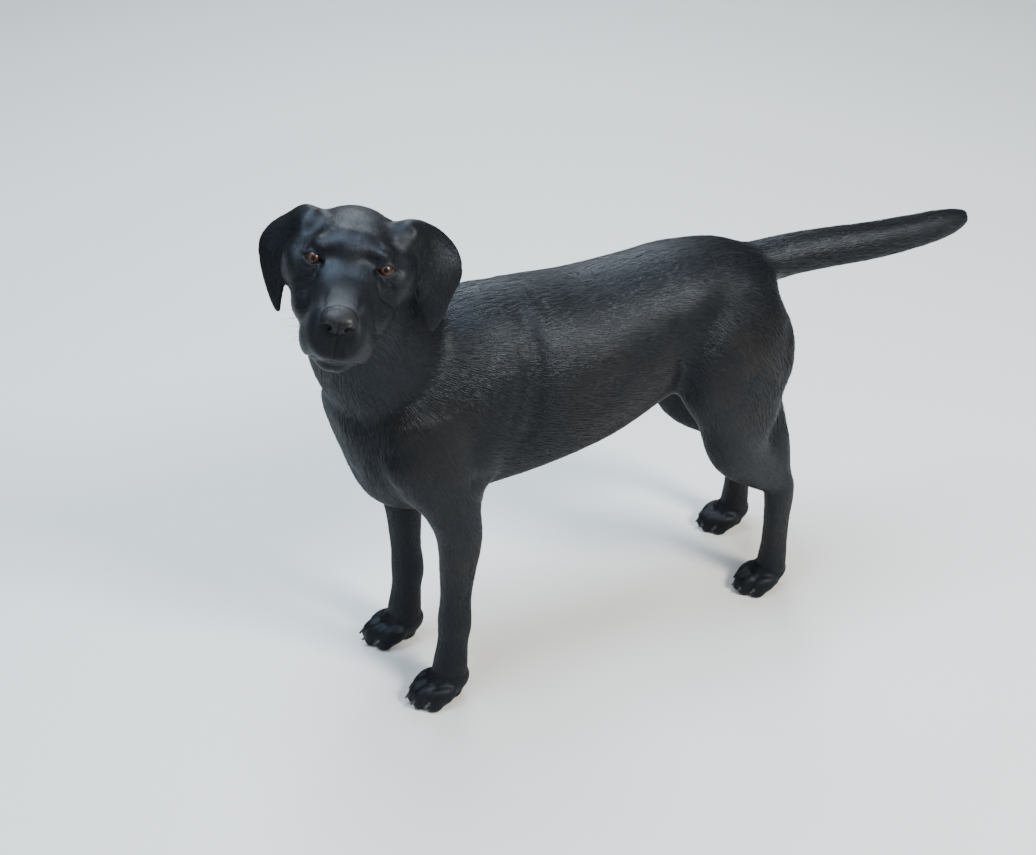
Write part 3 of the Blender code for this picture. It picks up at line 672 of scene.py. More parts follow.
# How bare the skin is: 1 on the lids, the lips' edge, the nose and the pads, 0 under the coat
def bareAt(points):
    bare = 1 - smoothStep(points[:, 2], *bareness["sole"])
    local = moved(points, headPlace().inverted())
    for s in (-1, 1):
        centre = np.array(eyeCentre(s))
        picked = near(local, centre, (0.020, 0.020, 0.020))
        u, v, w = ((local[picked] - centre) @ np.array(lidAxes(s)).T).T
        lid = (1 - smoothStep(almondGap(u, v), *bareness["lid"])) * (w > 0)
        bare[picked] = np.maximum(bare[picked], lid)
    picked = near(local, (0, -0.052, -0.08), (0.058, 0.07, 0.03))
    gap, _ = distanceToLine(local[picked], ontoSkin(local, throughKeys(mouth, 48)))
    bare[picked] = np.maximum(bare[picked], np.exp(-(gap / bareness["lip"]) ** 2))
    leather = np.linalg.norm((local - nose["centre"]) / np.array(nose["radii"]), axis=1)
    return np.maximum(bare, leather < bareness["nose"])


# The coat's lie. Each place gives the way its hair points, its reach, and the hair's length.
lay = {
    # x, y, z, way, reach, length; mirrored where x isn't 0
    "body": [
        (0, -0.2, 0.56, 0, 1, 0.05, 0.07, 0.019), (0, -0.05, 0.575, 0, 1, 0, 0.07, 0.018),
        (0, 0.1, 0.57, 0, 1, 0, 0.07, 0.018), (0, 0.23, 0.565, 0, 1, -0.15, 0.06, 0.02),
        (0.105, -0.17, 0.47, 0.1, 0.85, -0.5, 0.07, 0.018), (0.112, -0.05, 0.45, 0, 1, -0.25, 0.07, 0.017),
        (0.11, 0.06, 0.46, 0, 1, -0.25, 0.07, 0.017), (0.095, 0.14, 0.48, 0, 0.9, -0.45, 0.06, 0.017),
        (0.08, -0.09, 0.34, 0, 1, -0.1, 0.06, 0.018), (0, -0.2, 0.295, 0, 1, 0, 0.06, 0.018),
        (0, 0, 0.325, 0, 1, 0.1, 0.06, 0.016), (0, 0.12, 0.365, 0, 1, 0.1, 0.05, 0.015),
        (0, -0.335, 0.44, 0, -0.1, -1, 0.05, 0.02), (0.055, -0.33, 0.4, 0.25, 0.1, -1, 0.05, 0.019),
        (0, -0.31, 0.33, 0, 0.5, -0.9, 0.05, 0.02), (0.095, -0.27, 0.44, 0.05, 0.35, -0.95, 0.05, 0.017),
        (0.095, -0.23, 0.37, 0, 0.35, -0.95, 0.05, 0.016), (0.06, -0.14, 0.33, 0, 0.9, -0.4, 0.05, 0.017),
        (0.105, 0.19, 0.48, 0, 0.6, -0.8, 0.06, 0.017), (0.11, 0.22, 0.4, 0, 0.35, -0.95, 0.05, 0.016),
        (0.085, 0.3, 0.44, -0.1, 0.3, -1, 0.05, 0.024), (0.085, 0.28, 0.37, -0.1, 0.1, -1, 0.04, 0.023),
        (0.1, 0.16, 0.35, 0, 0.3, -1, 0.04, 0.014), (0.04, 0.17, 0.4, -0.2, 0.8, -0.5, 0.05, 0.015),
        (0.03, 0.31, 0.48, -0.1, 0.3, -1, 0.04, 0.022), (0.08, 0.17, 0.3, 0, 0.5, -0.9, 0.04, 0.012),
    ],
    "head": [
        (0, -0.108, -0.018, 0, 1, 0.3, 0.012, 0.003), (0.012, -0.08, -0.014, 0.1, 1, 0.05, 0.014, 0.004),
        (0.01, -0.045, -0.01, 0.05, 1, 0.1, 0.014, 0.005),
        (0.008, -0.012, 0.006, 0.05, 0.8, 0.6, 0.012, 0.006),
        (0.01, 0.02, 0.038, 0.1, 0.8, 0.55, 0.016, 0.007), (0.015, 0.065, 0.052, 0.1, 1, 0.05, 0.02, 0.008),
        (0.02, 0.11, 0.03, 0.1, 0.8, -0.6, 0.025, 0.011),
        (0.03, -0.1, -0.04, 0.5, 0.8, -0.2, 0.012, 0.0035),
        (0.038, -0.07, -0.045, 0.1, 1, -0.2, 0.014, 0.0045),
        (0.036, -0.085, -0.075, 0.3, 0.8, -0.55, 0.013, 0.0045),
        (0.04, -0.045, -0.075, 0.1, 0.9, -0.45, 0.014, 0.0055),
        (0.012, -0.117, -0.06, 0.7, 0.2, -0.6, 0.011, 0.0032),
        (0.01, -0.108, -0.078, 0.5, 0.3, -0.8, 0.009, 0.0034),
        (0.012, -0.095, -0.104, 0.3, 0.9, -0.35, 0.012, 0.005),
        (0.018, -0.05, -0.108, 0.1, 1, -0.1, 0.018, 0.007),
        (0.03, 0.01, -0.098, 0.1, 1, -0.15, 0.022, 0.01),
        (0.042, -0.018, -0.022, 0.35, 0.9, -0.2, 0.01, 0.0045),
        (0.052, 0.01, -0.045, 0.2, 0.9, -0.3, 0.016, 0.007),
        (0.056, 0.014, -0.01, 0.3, 0.95, 0, 0.012, 0.005),
        (0.042, 0.002, 0.017, 0.3, 0.4, 0.85, 0.01, 0.0045),
        (0.022, -0.006, 0.004, 0, 0.6, 0.8, 0.008, 0.004),
        (0.03, -0.016, -0.008, 0.2, 0.9, 0.2, 0.009, 0.004),
        (0.052, 0.04, 0.028, 0.5, 0.85, 0.1, 0.014, 0.007),
        (0.066, 0.05, -0.025, 0.1, 0.95, -0.3, 0.02, 0.009),
        (0.034, -0.004, 0.018, 0.15, 0.3, 0.95, 0.01, 0.0045),
        (0.01, -0.008, 0.012, 0.05, 0.4, 0.9, 0.01, 0.005),
        (0.05, 0.07, -0.075, 0.1, 0.9, -0.45, 0.025, 0.013), (0, 0.06, -0.105, 0, 0.85, -0.55, 0.03, 0.013),
    ],
    "limb": {"reach": 0.035, "upper": 0.013, "lower": 0.0095},
    # y, z, rise, length: instep, knuckles, toes and heel
    "paw": [(0.004, 0.045, -0.9, 0.006), (-0.02, 0.034, -0.45, 0.006),
            (-0.048, 0.022, -0.7, 0.0045), (0.03, 0.02, -1, 0.006)],
    "pawReach": 0.020,
    "neck": {"reach": 0.055, "length": 0.018},
    "tail": {"reach": 0.045, "length": 0.022},
    "ear": {"reach": 0.013, "length": 0.0070},
}


# Every place of the coat's lie, in the dog's frame: where, which way, how far it holds, how long
def layPlaces():
    rows = []
    for kind, place in (("body", Matrix.Identity(4)), ("head", headPlace())):
        turn = np.array(place.to_3x3().normalized())
        for x, y, z, *way, reach, length in lay[kind]:
            for s in ((1, -1) if x else (1,)):
                spot = place @ Vector((s * x, y, z))
                rows.append((*spot, *(turn @ np.array((s * way[0], way[1], way[2]))), reach, length))
    limb = lay["limb"]
    for legs, joints in ((frontLegs, ("elbow", "wrist", "ankle")), (hindLegs, ("stifle", "hock", "ankle"))):
        for leg in legs.values():
            spots = [Vector(leg[joint]) for joint in joints]
            for start, end, length in zip(spots, spots[1:], (limb["upper"], limb["lower"])):
                for t in (0.15, 0.5, 0.85):
                    rows.append((*start.lerp(end, t), *(end - start).normalized(), limb["reach"], length))
    for leg in (*frontLegs.values(), *hindLegs.values()):
        place = pawPlace(leg)
        for y, z, rise, length in lay["paw"]:
            way = place.to_3x3().normalized() @ Vector((0, -1 if y < 0.01 else 0, rise)).normalized()
            rows.append((*(place @ Vector((0, y, z))), *way, lay["pawReach"], length))
    for key, backwards in (("neck", True), ("tail", False)):
        path = throughKeys(body[key], 12)[:, :3]
        steps = np.gradient(path, axis=0) * (-1 if backwards else 1)
        for spot, step in zip(path[1:], steps[1:]):
            rows.append((*spot, *(step / np.linalg.norm(step)), lay[key]["reach"], lay[key]["length"]))
    turn = headPlace().to_3x3().normalized()
    for ear in ears.values():
        path = throughKeys(ear, 14)
        for row, step in zip(path, np.gradient(path[:, :3], axis=0)):
            for t in (-0.6, 0, 0.6):
                spot = Vector(row[:3]) + Vector(row[5:8]).normalized() * (row[4] * t)
                rows.append((*(headPlace() @ spot), *(turn @ Vector(step).normalized()),
                             lay["ear"]["reach"], lay["ear"]["length"]))
    return np.array(rows)


layRows = layPlaces()


# The way the hair points and its length at each point, blended from the places around it
def lieAt(points):
    ways, lengths = [], []
    for part in np.array_split(points, max(1, len(points) // 20000)):
        gap2 = ((part[:, None] - layRows[None, :, :3]) ** 2).sum(2)
        weight = np.exp(-gap2 / layRows[:, 6] ** 2) + 1e-7 / (gap2 + 1e-5)
        weight /= weight.sum(1)[:, None]
        ways.append(weight @ layRows[:, 3:6])
        lengths.append(weight @ layRows[:, 7])
    return np.vstack(ways), np.concatenate(lengths)


coatDepth = {"share": 0.11, "least": 0.0005, "most": 0.0021, "lowest": 0.0004}


def depthFor(length):
    return np.clip(length * coatDepth["share"], coatDepth["least"], coatDepth["most"])


# Sets the animal on its soles, then draws the skin in by the coat's depth
def settleSkin(piece):
    points = readPoints(piece)
    points[:, 2] -= soleHeight
    normals = readNormals(piece)
    points -= normals * depthFor(lieAt(points)[1])[:, None]
    points[:, 2] = np.maximum(points[:, 2], coatDepth["lowest"])
    writePoints(piece, points)


# Centres and reaches on the head; those of a pair lie on both sides
softened = {
    "rounds": 60,
    "pairs": [((0.052, 0.052, 0.036), 0.026),                           # before the ear
              ((0.050, 0.004, -0.048), 0.028),                          # below the cheek
              ((0.018, 0.004, 0.024), 0.018)],                          # forehead
    "middle": [((0.0, -0.004, 0.018), 0.026)],                          # stop
}
# Where the skin is split finer, and how far round each place
detailed = {
    "eye": ((eyes["spacing"] / 2, -0.002, 0.0), 0.021), "lids": ((eyes["spacing"] / 2, -0.004, 0.0), 0.0165),
    "nose": ((0.0, -0.112, -0.045), 0.030), "mouthReach": 0.013,
    "mouth": [(0.014, -0.110, -0.084), (0.032, -0.085, -0.093), (0.037, -0.058, -0.093),
              (0.040, -0.032, -0.086), (0.044, -0.012, -0.075)],
}
thinned = {"triangles": 172000, "share": 0.7, "levels": 20}


def bothSides(places):
    return [((s * x, y, z), reach) for s in (-1, 1) for (x, y, z), reach in places]


# Smooths the skin near some places of the head, where separate forms still show
def softenSkin(piece):
    local = moved(readPoints(piece), headPlace().inverted())
    group = piece.vertex_groups.new(name="soft")
    for centre, radius in bothSides(softened["pairs"]) + softened["middle"]:
        picked = np.where(np.linalg.norm(local - np.array(centre), axis=1) < radius)[0]
        group.add(picked.tolist(), 1.0, "REPLACE")
    applyModifier(piece, "SMOOTH", factor=0.5, iterations=softened["rounds"], vertex_group="soft")
    piece.vertex_groups.clear()


settleSkin(skin)
softenSkin(skin)
detailPlaces = bothSides([detailed["eye"]]) + [detailed["nose"]]
detailPlaces += bothSides([(spot, detailed["mouthReach"]) for spot in detailed["mouth"]])
refine(skin, detailPlaces)
refine(skin, bothSides([detailed["lids"]]))
sculptHead(skin)
sculptBody(skin)
print("head sculpted:", len(skin.data.vertices), "points")


# Takes faces away where the body is plain, and keeps them on the face and the paws
def thinSkin(piece):
    points = readPoints(piece)
    local = moved(points, headPlace().inverted())
    inHead = 1 - smoothStep(np.linalg.norm(local - (0, -0.02, -0.02), axis=1), 0.10, 0.15)
    inPaw = 1 - smoothStep(points[:, 2], 0.04, 0.07)
    weight = 1 - thinned["share"] * np.maximum(inHead, inPaw)
    for centre, radius in detailPlaces:
        weight[np.linalg.norm(local - np.array(centre), axis=1) < radius * 0.95] = 0
    group = piece.vertex_groups.new(name="plain")
    levels = thinned["levels"]
    for level in range(levels + 1):
        picked = np.where(np.round(weight * levels) == level)[0]
        group.add(picked.tolist(), level / levels, "REPLACE")
    ratio = thinned["triangles"] / (2 * len(piece.data.polygons))
    applyModifier(piece, "DECIMATE", ratio=ratio, vertex_group="plain", vertex_group_factor=1.0)
    piece.vertex_groups.clear()


thinSkin(skin)
print("skin thinned:", len(skin.data.polygons), "faces")


# Keeps one number or one vector for each point of a piece, for its material
def paintAttribute(piece, name, values):
    values = np.asarray(values, float)
    kind, key = ("FLOAT_VECTOR", "vector") if values.ndim == 2 else ("FLOAT", "value")
    piece.data.attributes.new(name, kind, "POINT").data.foreach_set(key, values.ravel())


eyeball = {"iris": 0.0080, "bulge": 0.0007, "gaze": (0.10, -0.96, 0.20)}


# An eyeball whose pole looks along the gaze, with the cornea raised over the iris
def eyePiece(name, s):
    ball = addBall((0, 0, 0), (1, 1, 1), segments=64)
    points = readPoints(ball)
    radius = eyes["radius"]
    cap = np.arctan2(np.hypot(points[:, 0], points[:, 1]), points[:, 2]) * radius / eyeball["iris"]
    height = radius + eyeball["bulge"] * (1 - smoothStep(cap, 0.2, 1.25))
    paintAttribute(ball, "eyePlace", points * radius * np.where(points[:, 2:3] > 0, 1, 9))
    gaze = Vector((s * eyeball["gaze"][0], *eyeball["gaze"][1:])).normalized()
    turn = gaze.to_track_quat("Z", "Y").to_matrix().to_4x4()
    place = toFrame @ headPlace() @ Matrix.Translation(eyeCentre(s)) @ turn
    writePoints(ball, moved(points * height[:, None], place))
    ball.name = ball.data.name = name
    ball.data.shade_smooth()
    return ball


# x and z of the marks on the leather, and how far they reach, sink or rise
noseMarks = {
    "nostril": (0.0118, -0.0390), "nostrilReach": (0.0044, 0.0036), "hole": 0.0062, "rim": 0.0008,
    "slit": ((0.0135, -0.0425), (0.0175, -0.0440), (0.0210, -0.0410)),
    "slitWidth": 0.0011, "slitDepth": 0.0030,
    "wing": (0.0150, -0.0345), "wingReach": (0.0045, 0.0040), "wingRise": 0.0008,
    "seamWidth": 0.0010, "seamDepth": 0.0012,
}


# The nose leather: broad above, narrow below, with nostrils that run out into slits
def nosePiece():
    ball = addBall((0, 0, 0), (1, 1, 1), segments=150)
    points = readPoints(ball)
    turned = np.stack([points[:, 0], -points[:, 2], points[:, 1]], 1)     # the pole looks forwards
    x, y, z = (np.sign(turned) * np.abs(turned) ** nose["square"]).T
    x = x * (1 - nose["narrowing"] * smoothStep(-z, -0.15, 1.0))
    y = y + nose["topBack"] * smoothStep(z, 0.1, 1.0)
    points = np.stack([x, y, z], 1) * nose["radii"] + nose["centre"]
    writePoints(ball, points)
    normals = readNormals(ball)
    front = points[:, 1] < nose["centre"][1] + 0.004
    across, height = np.abs(points[:, 0]), points[:, 2]

    # How many reaches away each point is from a mark
    def awayFrom(mark):
        (markX, markZ), (reachX, reachZ) = noseMarks[mark], noseMarks[mark + "Reach"]
        return np.hypot((across - markX) / reachX, (height - markZ) / reachZ)

    hole = smoothStep(-awayFrom("nostril"), -1.25, -0.55)
    rim = np.exp(-((awayFrom("nostril") - 1.55) / 0.38) ** 2)
    wing = np.exp(-awayFrom("wing") ** 2)
    slit = throughKeys([(x, 0, z) for x, z in noseMarks["slit"]], 20)
    gap, along = distanceToLine(np.stack([across, 0 * across, height], 1), slit)
    cut = np.exp(-(gap / noseMarks["slitWidth"]) ** 2) * (1 - 0.5 * along)
    seam = np.exp(-(points[:, 0] / noseMarks["seamWidth"]) ** 2) * smoothStep(-height, 0.026, 0.034)
    out = noseMarks["rim"] * rim * (1 - hole) + noseMarks["wingRise"] * wing
    out = out - noseMarks["slitDepth"] * cut * (1 - hole) - noseMarks["seamDepth"] * seam
    points += normals * (out * front)[:, None]
    points[:, 1] += noseMarks["hole"] * hole * front
    # painted shade: marks the nostrils' holes and slits, which the nose finish paints darker
    paintAttribute(ball, "nostrilShade", np.clip(hole + cut, 0, 1) * front)
    writePoints(ball, moved(points, toFrame @ headPlace()))
    ball.name = ball.data.name = "nose_leather"
    ball.data.shade_smooth()
    return ball


claws = {"radius": 0.0040, "taper": 0.70, "flat": 0.75, "length": 0.0112, "rise": 0.0014, "hook": 0.0062,
         "apart": 1.08, "ahead": 0.0168, "height": 0.0175, "scale": {"front": 1.0, "hind": 0.95}}


# The four claws of one paw: short hooked cones
def clawsPiece(place, side, leg):
    paw = toFrame @ Matrix.Translation((0, 0, -soleHeight)) @ pawPlace(leg)
    made = []
    for x, y, fan in toes:
        rows = []
        for t in np.linspace(0, 1, 7):
            radius = claws["radius"] * (1 - claws["taper"] * t ** 1.6)
            rows.append((0, -claws["length"] * t, claws["rise"] * t - claws["hook"] * t * t,
                         radius * claws["flat"], radius, radius))
        claw = addLoft("claw", rows, 12, 12, 2.0, (0, 0, 1))
        turn = Matrix.Rotation(math.radians(fan), 4, "Z")
        spot = Matrix.Translation((x * claws["apart"], y - claws["ahead"], claws["height"])) @ turn
        claw.data.transform(paw @ spot @ Matrix.Scale(claws["scale"][place], 4))
        made.append(claw)
    piece = joinPieces(made, f"claws_{place}_{side}")
    piece.data.shade_smooth()
    return piece


feelers = {"onLip": 20, "onBrow": 2, "shortest": 0.018, "longest": 0.040, "thick": 0.00020,
           "rootJitter": 0.0010, "wayJitter": 0.10, "sag": 0.30}


# Stiff dark whiskers from the lips' pads and the brows, swept back
def feelerPiece(tree):
    points, faces = [], []
    place = headPlace()
    turn = place.to_3x3().normalized()
    for s in (-1, 1):
        for index in range(feelers["onLip"] + feelers["onBrow"]):
            row, step = divmod(index, 6)
            root = Vector((s * 0.038, -0.092 + 0.011 * step + 0.003 * row, -0.044 - 0.0085 * row))
            way = Vector((s * 0.80, 0.62, -0.20 - 0.10 * row))
            reach = feelers["shortest"] + (feelers["longest"] - feelers["shortest"]) * step / 5
            if index >= feelers["onLip"]:
                root = Vector((s * 0.036, -0.004, 0.022 + 0.003 * (index - feelers["onLip"])))
                way = Vector((s * 0.4, -0.1, 0.9))
                reach = feelers["shortest"]
            root += Vector(dice.normal(0, feelers["rootJitter"], 3))
            way = (way + Vector(dice.normal(0, feelers["wayJitter"], 3))).normalized()
            spot, _, _, _ = tree.find_nearest(place @ root)
            heading = turn @ way
            sag = turn @ Vector((0, 0.5, -0.6))
            side = heading.cross(sag).normalized()
            rise = side.cross(heading)
            first = len(points)
            for t in (0, 0.25, 0.5, 0.75, 1.0):
                middle = spot + heading * (reach * t - 0.001) + sag * (reach * feelers["sag"] * t * t)
                thick = feelers["thick"] * (1 - 0.85 * t)
                for angle in (0.0, 2.094, 4.189):
                    points.append(middle + (side * math.cos(angle) + rise * math.sin(angle)) * thick)
            for ring in range(4):
                for k in range(3):
                    a, b = first + ring * 3 + k, first + ring * 3 + (k + 1) % 3
                    faces.append((a, b, b + 3, a + 3))
            faces += [(first + 2, first + 1, first), (first + 12, first + 13, first + 14)]
    piece = meshPiece("whiskers", [tuple(toFrame @ point) for point in points], faces)
    piece.data.shade_smooth()
    return piece


skinTree = BVHTree.FromPolygons([tuple(p) for p in readPoints(skin)],
                                [tuple(face.vertices) for face in skin.data.polygons])
eyePieces = {"left": eyePiece("eyeball_left", 1), "right": eyePiece("eyeball_right", -1)}
noseLeather = nosePiece()
clawPieces = {}
for place, legs in (("front", frontLegs), ("hind", hindLegs)):
    for side, leg in legs.items():
        clawPieces[place, side] = clawsPiece(place, side, leg)
whiskers = feelerPiece(skinTree)
print("eyes, nose, claws and whiskers made")


coat = {
    "tufts": 228000, "pieces": 8, "patch": 0.003, "outline": 6000,
    "thin": 0.00040, "spread": 0.046,                 # a tuft's width: at least, and for each length
    "shortest": 0.003, "bareLimit": 0.35, "sole": 0.006, "floor": 0.0003,   # where tufts stand, and how low
    "wave": 0.06, "jitter": 0.11,                     # how far tufts stray from the lie
    "middle": 0.42, "ridge": 0.28, "rootDepth": 0.0004,
    "lengths": (0.75, 1.2), "widths": (0.7, 1.15), "middleRise": (0.25, 0.60), "tipRise": (0.40, 1.05),
}


# A light copy of the skin, unwrapped, to look a root's place on the map up
def outlineMap(piece):
    deselect()
    proxy = piece.copy()
    proxy.data = piece.data.copy()
    bpy.context.scene.collection.objects.link(proxy)
    triangles = 1.9 * len(proxy.data.polygons)                         # most of its faces have four sides
    applyModifier(proxy, "DECIMATE", ratio=coat["outline"] / triangles)
    makeActive(proxy)
    bpy.ops.object.mode_set(mode="EDIT")
    bpy.ops.mesh.select_all(action="SELECT")
    bpy.ops.mesh.quads_convert_to_tris()
    bpy.ops.uv.smart_project(angle_limit=math.radians(66), island_margin=0.004)
    bpy.ops.object.mode_set(mode="OBJECT")
    corners = np.array([tuple(face.vertices) for face in proxy.data.polygons])
    places = readPoints(proxy)
    uvs = np.zeros(len(proxy.data.loops) * 2)
    proxy.data.uv_layers.active.data.foreach_get("uv", uvs)
    uvs = uvs.reshape(-1, 3, 2)
    tree = BVHTree.FromPolygons([tuple(p) for p in places], corners.tolist())
    bpy.data.objects.remove(proxy)
    return tree, places[corners], uvs


# The place on the map of each root
def lookUp(roots, tree, triangles, uvs):
    spots, index = np.zeros((len(roots), 3)), np.zeros(len(roots), int)
    for i, root in enumerate(roots):
        spots[i], _, index[i], _ = tree.find_nearest(root)
    a, b, c = triangles[index].transpose(1, 0, 2)
    v0, v1, v2 = b - a, c - a, spots - a
    d00, d01, d11 = (v0 * v0).sum(1), (v0 * v1).sum(1), (v1 * v1).sum(1)
    d20, d21 = (v2 * v0).sum(1), (v2 * v1).sum(1)
    under = np.maximum(d00 * d11 - d01 * d01, 1e-16)
    s, t = (d11 * d20 - d01 * d21) / under, (d00 * d21 - d01 * d20) / under
    return uvs[index, 0] * (1 - s - t)[:, None] + uvs[index, 1] * s[:, None] + uvs[index, 2] * t[:, None]


def tuftWidth(length):
    return coat["thin"] + coat["spread"] * length


# Roots all over the skin, closer together where the hair is short, and none where it is bare
def scatterRoots(piece, count):
    mesh = piece.data
    mesh.calc_loop_triangles()
    corners = np.zeros(len(mesh.loop_triangles) * 3, int)
    mesh.loop_triangles.foreach_get("vertices", corners)
    corners = corners.reshape(-1, 3)
    points, bare = readPoints(piece), bareAt(readPoints(piece))
    a, b, c = points[corners].transpose(1, 0, 2)
    cross = np.cross(b - a, c - a)
    area = np.linalg.norm(cross, axis=1) / 2
    normals = cross / np.maximum(2 * area, 1e-14)[:, None]
    _, length = lieAt((a + b + c) / 3)
    length = np.maximum(length, coat["shortest"])
    covered = bare[corners].max(1) < coat["bareLimit"]
    sole = (a[:, 2] < coat["sole"]) & (normals[:, 2] < -0.5)
    want = area / (length * tuftWidth(length)) * (covered & ~sole)
    picked = np.searchsorted(np.cumsum(want) / want.sum(), dice.random(count))
    picked = np.minimum(picked, len(corners) - 1)
    u, v = dice.random(count), dice.random(count)
    u, v = np.where(u + v > 1, 1 - u, u), np.where(u + v > 1, 1 - v, v)
    roots = a[picked] + (b - a)[picked] * u[:, None] + (c - a)[picked] * v[:, None]
    return roots, normals[picked]


def unit(ways):
    return ways / np.maximum(np.linalg.norm(ways, axis=1), 1e-9)[:, None]


# The nearest points of the skin, and the way out of it there
def onSkin(spots):
    found, normals = np.zeros_like(spots), np.zeros_like(spots)
    for i, spot in enumerate(spots):
        found[i], normals[i], _, _ = skinTree.find_nearest(spot)
    return found, normals


# Every tuft is a flat spindle: a point below the skin, a ridge of three points, and the tip
def spindles(roots, out):
    way, length = lieAt(roots)
    wave = np.sin(roots @ np.array([(210, 90, 40), (-60, 170, 120), (80, -50, 230)]).T)
    perAxis = coat["jitter"] / 1.7
    way = way + coat["wave"] * wave + dice.normal(0, perAxis, way.shape)
    way = unit(way - out * (way * out).sum(1)[:, None])
    length = length * dice.uniform(*coat["lengths"], len(length))
    depth = depthFor(length)
    middle, middleOut = onSkin(roots + way * (length * coat["middle"])[:, None])
    tip, tipOut = onSkin(roots + way * length[:, None])
    middle = middle + middleOut * (depth * dice.uniform(*coat["middleRise"], len(depth)))[:, None]
    tip = tip + tipOut * (depth * dice.uniform(*coat["tipRise"], len(depth)))[:, None]
    root = roots - out * coat["rootDepth"]
    side = unit(np.cross(unit(tip - root), middleOut))
    half = (tuftWidth(length) * dice.uniform(*coat["widths"], len(length)) / 2)[:, None]
    rise = middleOut * half * coat["ridge"]
    corners = np.stack([root, middle + rise, middle + side * half - rise * 0.6,
                        middle - side * half - rise * 0.6, tip], 1)
    corners[..., 2] = np.maximum(corners[..., 2], coat["floor"])
    shading = np.stack([out, middleOut, middleOut + side * 0.6, middleOut - side * 0.6, tipOut], 1)
    return corners, unit(shading.reshape(-1, 3)).reshape(-1, 5, 3)


spindleFaces = np.array([(1, 2, 4), (2, 3, 4), (3, 1, 4), (2, 1, 0), (3, 2, 0), (1, 3, 0)])
spindlePatch = np.array([(0, -0.5), (0, -0.1), (0.5, -0.1), (-0.5, -0.1), (0, 0.5)]) * coat["patch"]


# Many tufts as one mesh, each with its patch on the map
def tuftPiece(name, corners, shading, places):
    spots = moved(corners.reshape(-1, 3), toFrame)
    loops = (np.arange(len(corners))[:, None, None] * 5 + spindleFaces).reshape(-1)
    mesh = bpy.data.meshes.new(name)
    mesh.vertices.add(len(spots))
    mesh.vertices.foreach_set("co", spots.ravel())
    mesh.loops.add(len(loops))
    mesh.loops.foreach_set("vertex_index", loops)
    mesh.polygons.add(len(loops) // 3)
    mesh.polygons.foreach_set("loop_start", np.arange(0, len(loops), 3))
    uvs = places[:, None, None] + spindlePatch[spindleFaces]
    mesh.uv_layers.new(name="OFBake").data.foreach_set("uv", uvs.ravel())
    mesh.update(calc_edges=True)
    mesh.validate()
    mesh.shade_smooth()
    mesh.normals_split_custom_set_from_vertices(shading.reshape(-1, 3))
    tufts = bpy.data.objects.new(name, mesh)
    bpy.context.scene.collection.objects.link(tufts)
    return tufts


# The whole coat, in pieces from the nose back
def growCoat(piece):
    roots, out = scatterRoots(piece, coat["tufts"])
    order = np.argsort(roots[:, 1] + 0.001 * roots[:, 2])
    roots, out = roots[order], out[order]
    corners, shading = spindles(roots, out)
    places = lookUp(roots, *outlineMap(piece))
    parts = np.array_split(np.arange(len(roots)), coat["pieces"])
    return [tuftPiece(f"coat_{number}", corners[part], shading[part], places[part])
            for number, part in enumerate(parts, 1)]


coatPieces = growCoat(skin)
print("coat grown:", sum(len(piece.data.polygons) for piece in coatPieces), "triangles")
paintAttribute(skin, "bare", bareAt(readPoints(skin)))
writePoints(skin, moved(readPoints(skin), toFrame))
skin.data.shade_smooth()


# A socket that can be added, multiplied and so on in an expression
class Wire:
    def __init__(self, paint, socket):
        self.paint, self.socket = paint, socket

    def math(self, operation, *others, clamp=False):
        node = self.paint.tree.nodes.new("ShaderNodeMath")
        node.operation = operation
        node.use_clamp = clamp
        for place, value in zip(node.inputs, (self, *others)):
            self.paint.feed(place, value)
        return Wire(self.paint, node.outputs[0])

    def __add__(self, other):
        return self.math("ADD", other)

    def __sub__(self, other):
        return self.math("SUBTRACT", other)

    def __rsub__(self, other):
        return (self * -1) + other

    def __mul__(self, other):
        return self.math("MULTIPLY", other)

    def __truediv__(self, other):
        return self.math("DIVIDE", other)

    __radd__ = __add__
    __rmul__ = __mul__

    def limited(self):
        return self.math("ADD", 0.0, clamp=True)

    # 0 below low, 1 above high, smooth between
    def step(self, low, high):
        t = ((self - low) / (high - low)).limited()
        return t * t * (3 - 2 * t)


# One material under construction
class Paint:
    def __init__(self, name):
        self.material = bpy.data.materials.new(name)
        self.material.use_nodes = True
        self.tree = self.material.node_tree
        self.shader = self.tree.nodes["Principled BSDF"]

    def feed(self, place, value):
        if isinstance(value, Wire):
            self.tree.links.new(value.socket, place)
        else:
            place.default_value = value

    def node(self, kind, settings=None, output=0, **inputs):
        node = self.tree.nodes.new("ShaderNode" + kind)
        for key, value in (settings or {}).items():
            setattr(node, key, value)
        for key, value in inputs.items():
            self.feed(node.inputs[key], value)
        return Wire(self, node.outputs[output])

    def place(self):
        return self.node("TexCoord", output="Object")

    def attribute(self, name, output="Fac"):
        return self.node("Attribute", {"attribute_name": name}, output=output)

    def noise(self, scale, detail, place=None):
        return self.node("TexNoise", Vector=place or self.place(), Scale=scale, Detail=detail)

    def blend(self, amount, first, second):
        node = self.tree.nodes.new("ShaderNodeMix")
        node.data_type = "RGBA"
        self.feed(node.inputs["Factor"], amount)
        for key, colour in ((6, first), (7, second)):
            self.feed(node.inputs[key], colour if isinstance(colour, Wire) else (*colour, 1.0))
        return Wire(self, node.outputs[2])

    # 1 near a place of the frame, 0 away from it
    def within(self, centre, inner, outer):
        away = self.node("VectorMath", {"operation": "DISTANCE"}, output="Value", Vector=self.place())
        away.socket.node.inputs[1].default_value = centre
        return 1 - away.step(inner, outer)

    def bump(self, height, distance, strength):
        return self.node("Bump", Height=height, Distance=distance, Strength=strength)

    def set(self, **values):
        for key, value in values.items():
            self.feed(self.shader.inputs[key.replace("_", " ")], value)
        return self.material


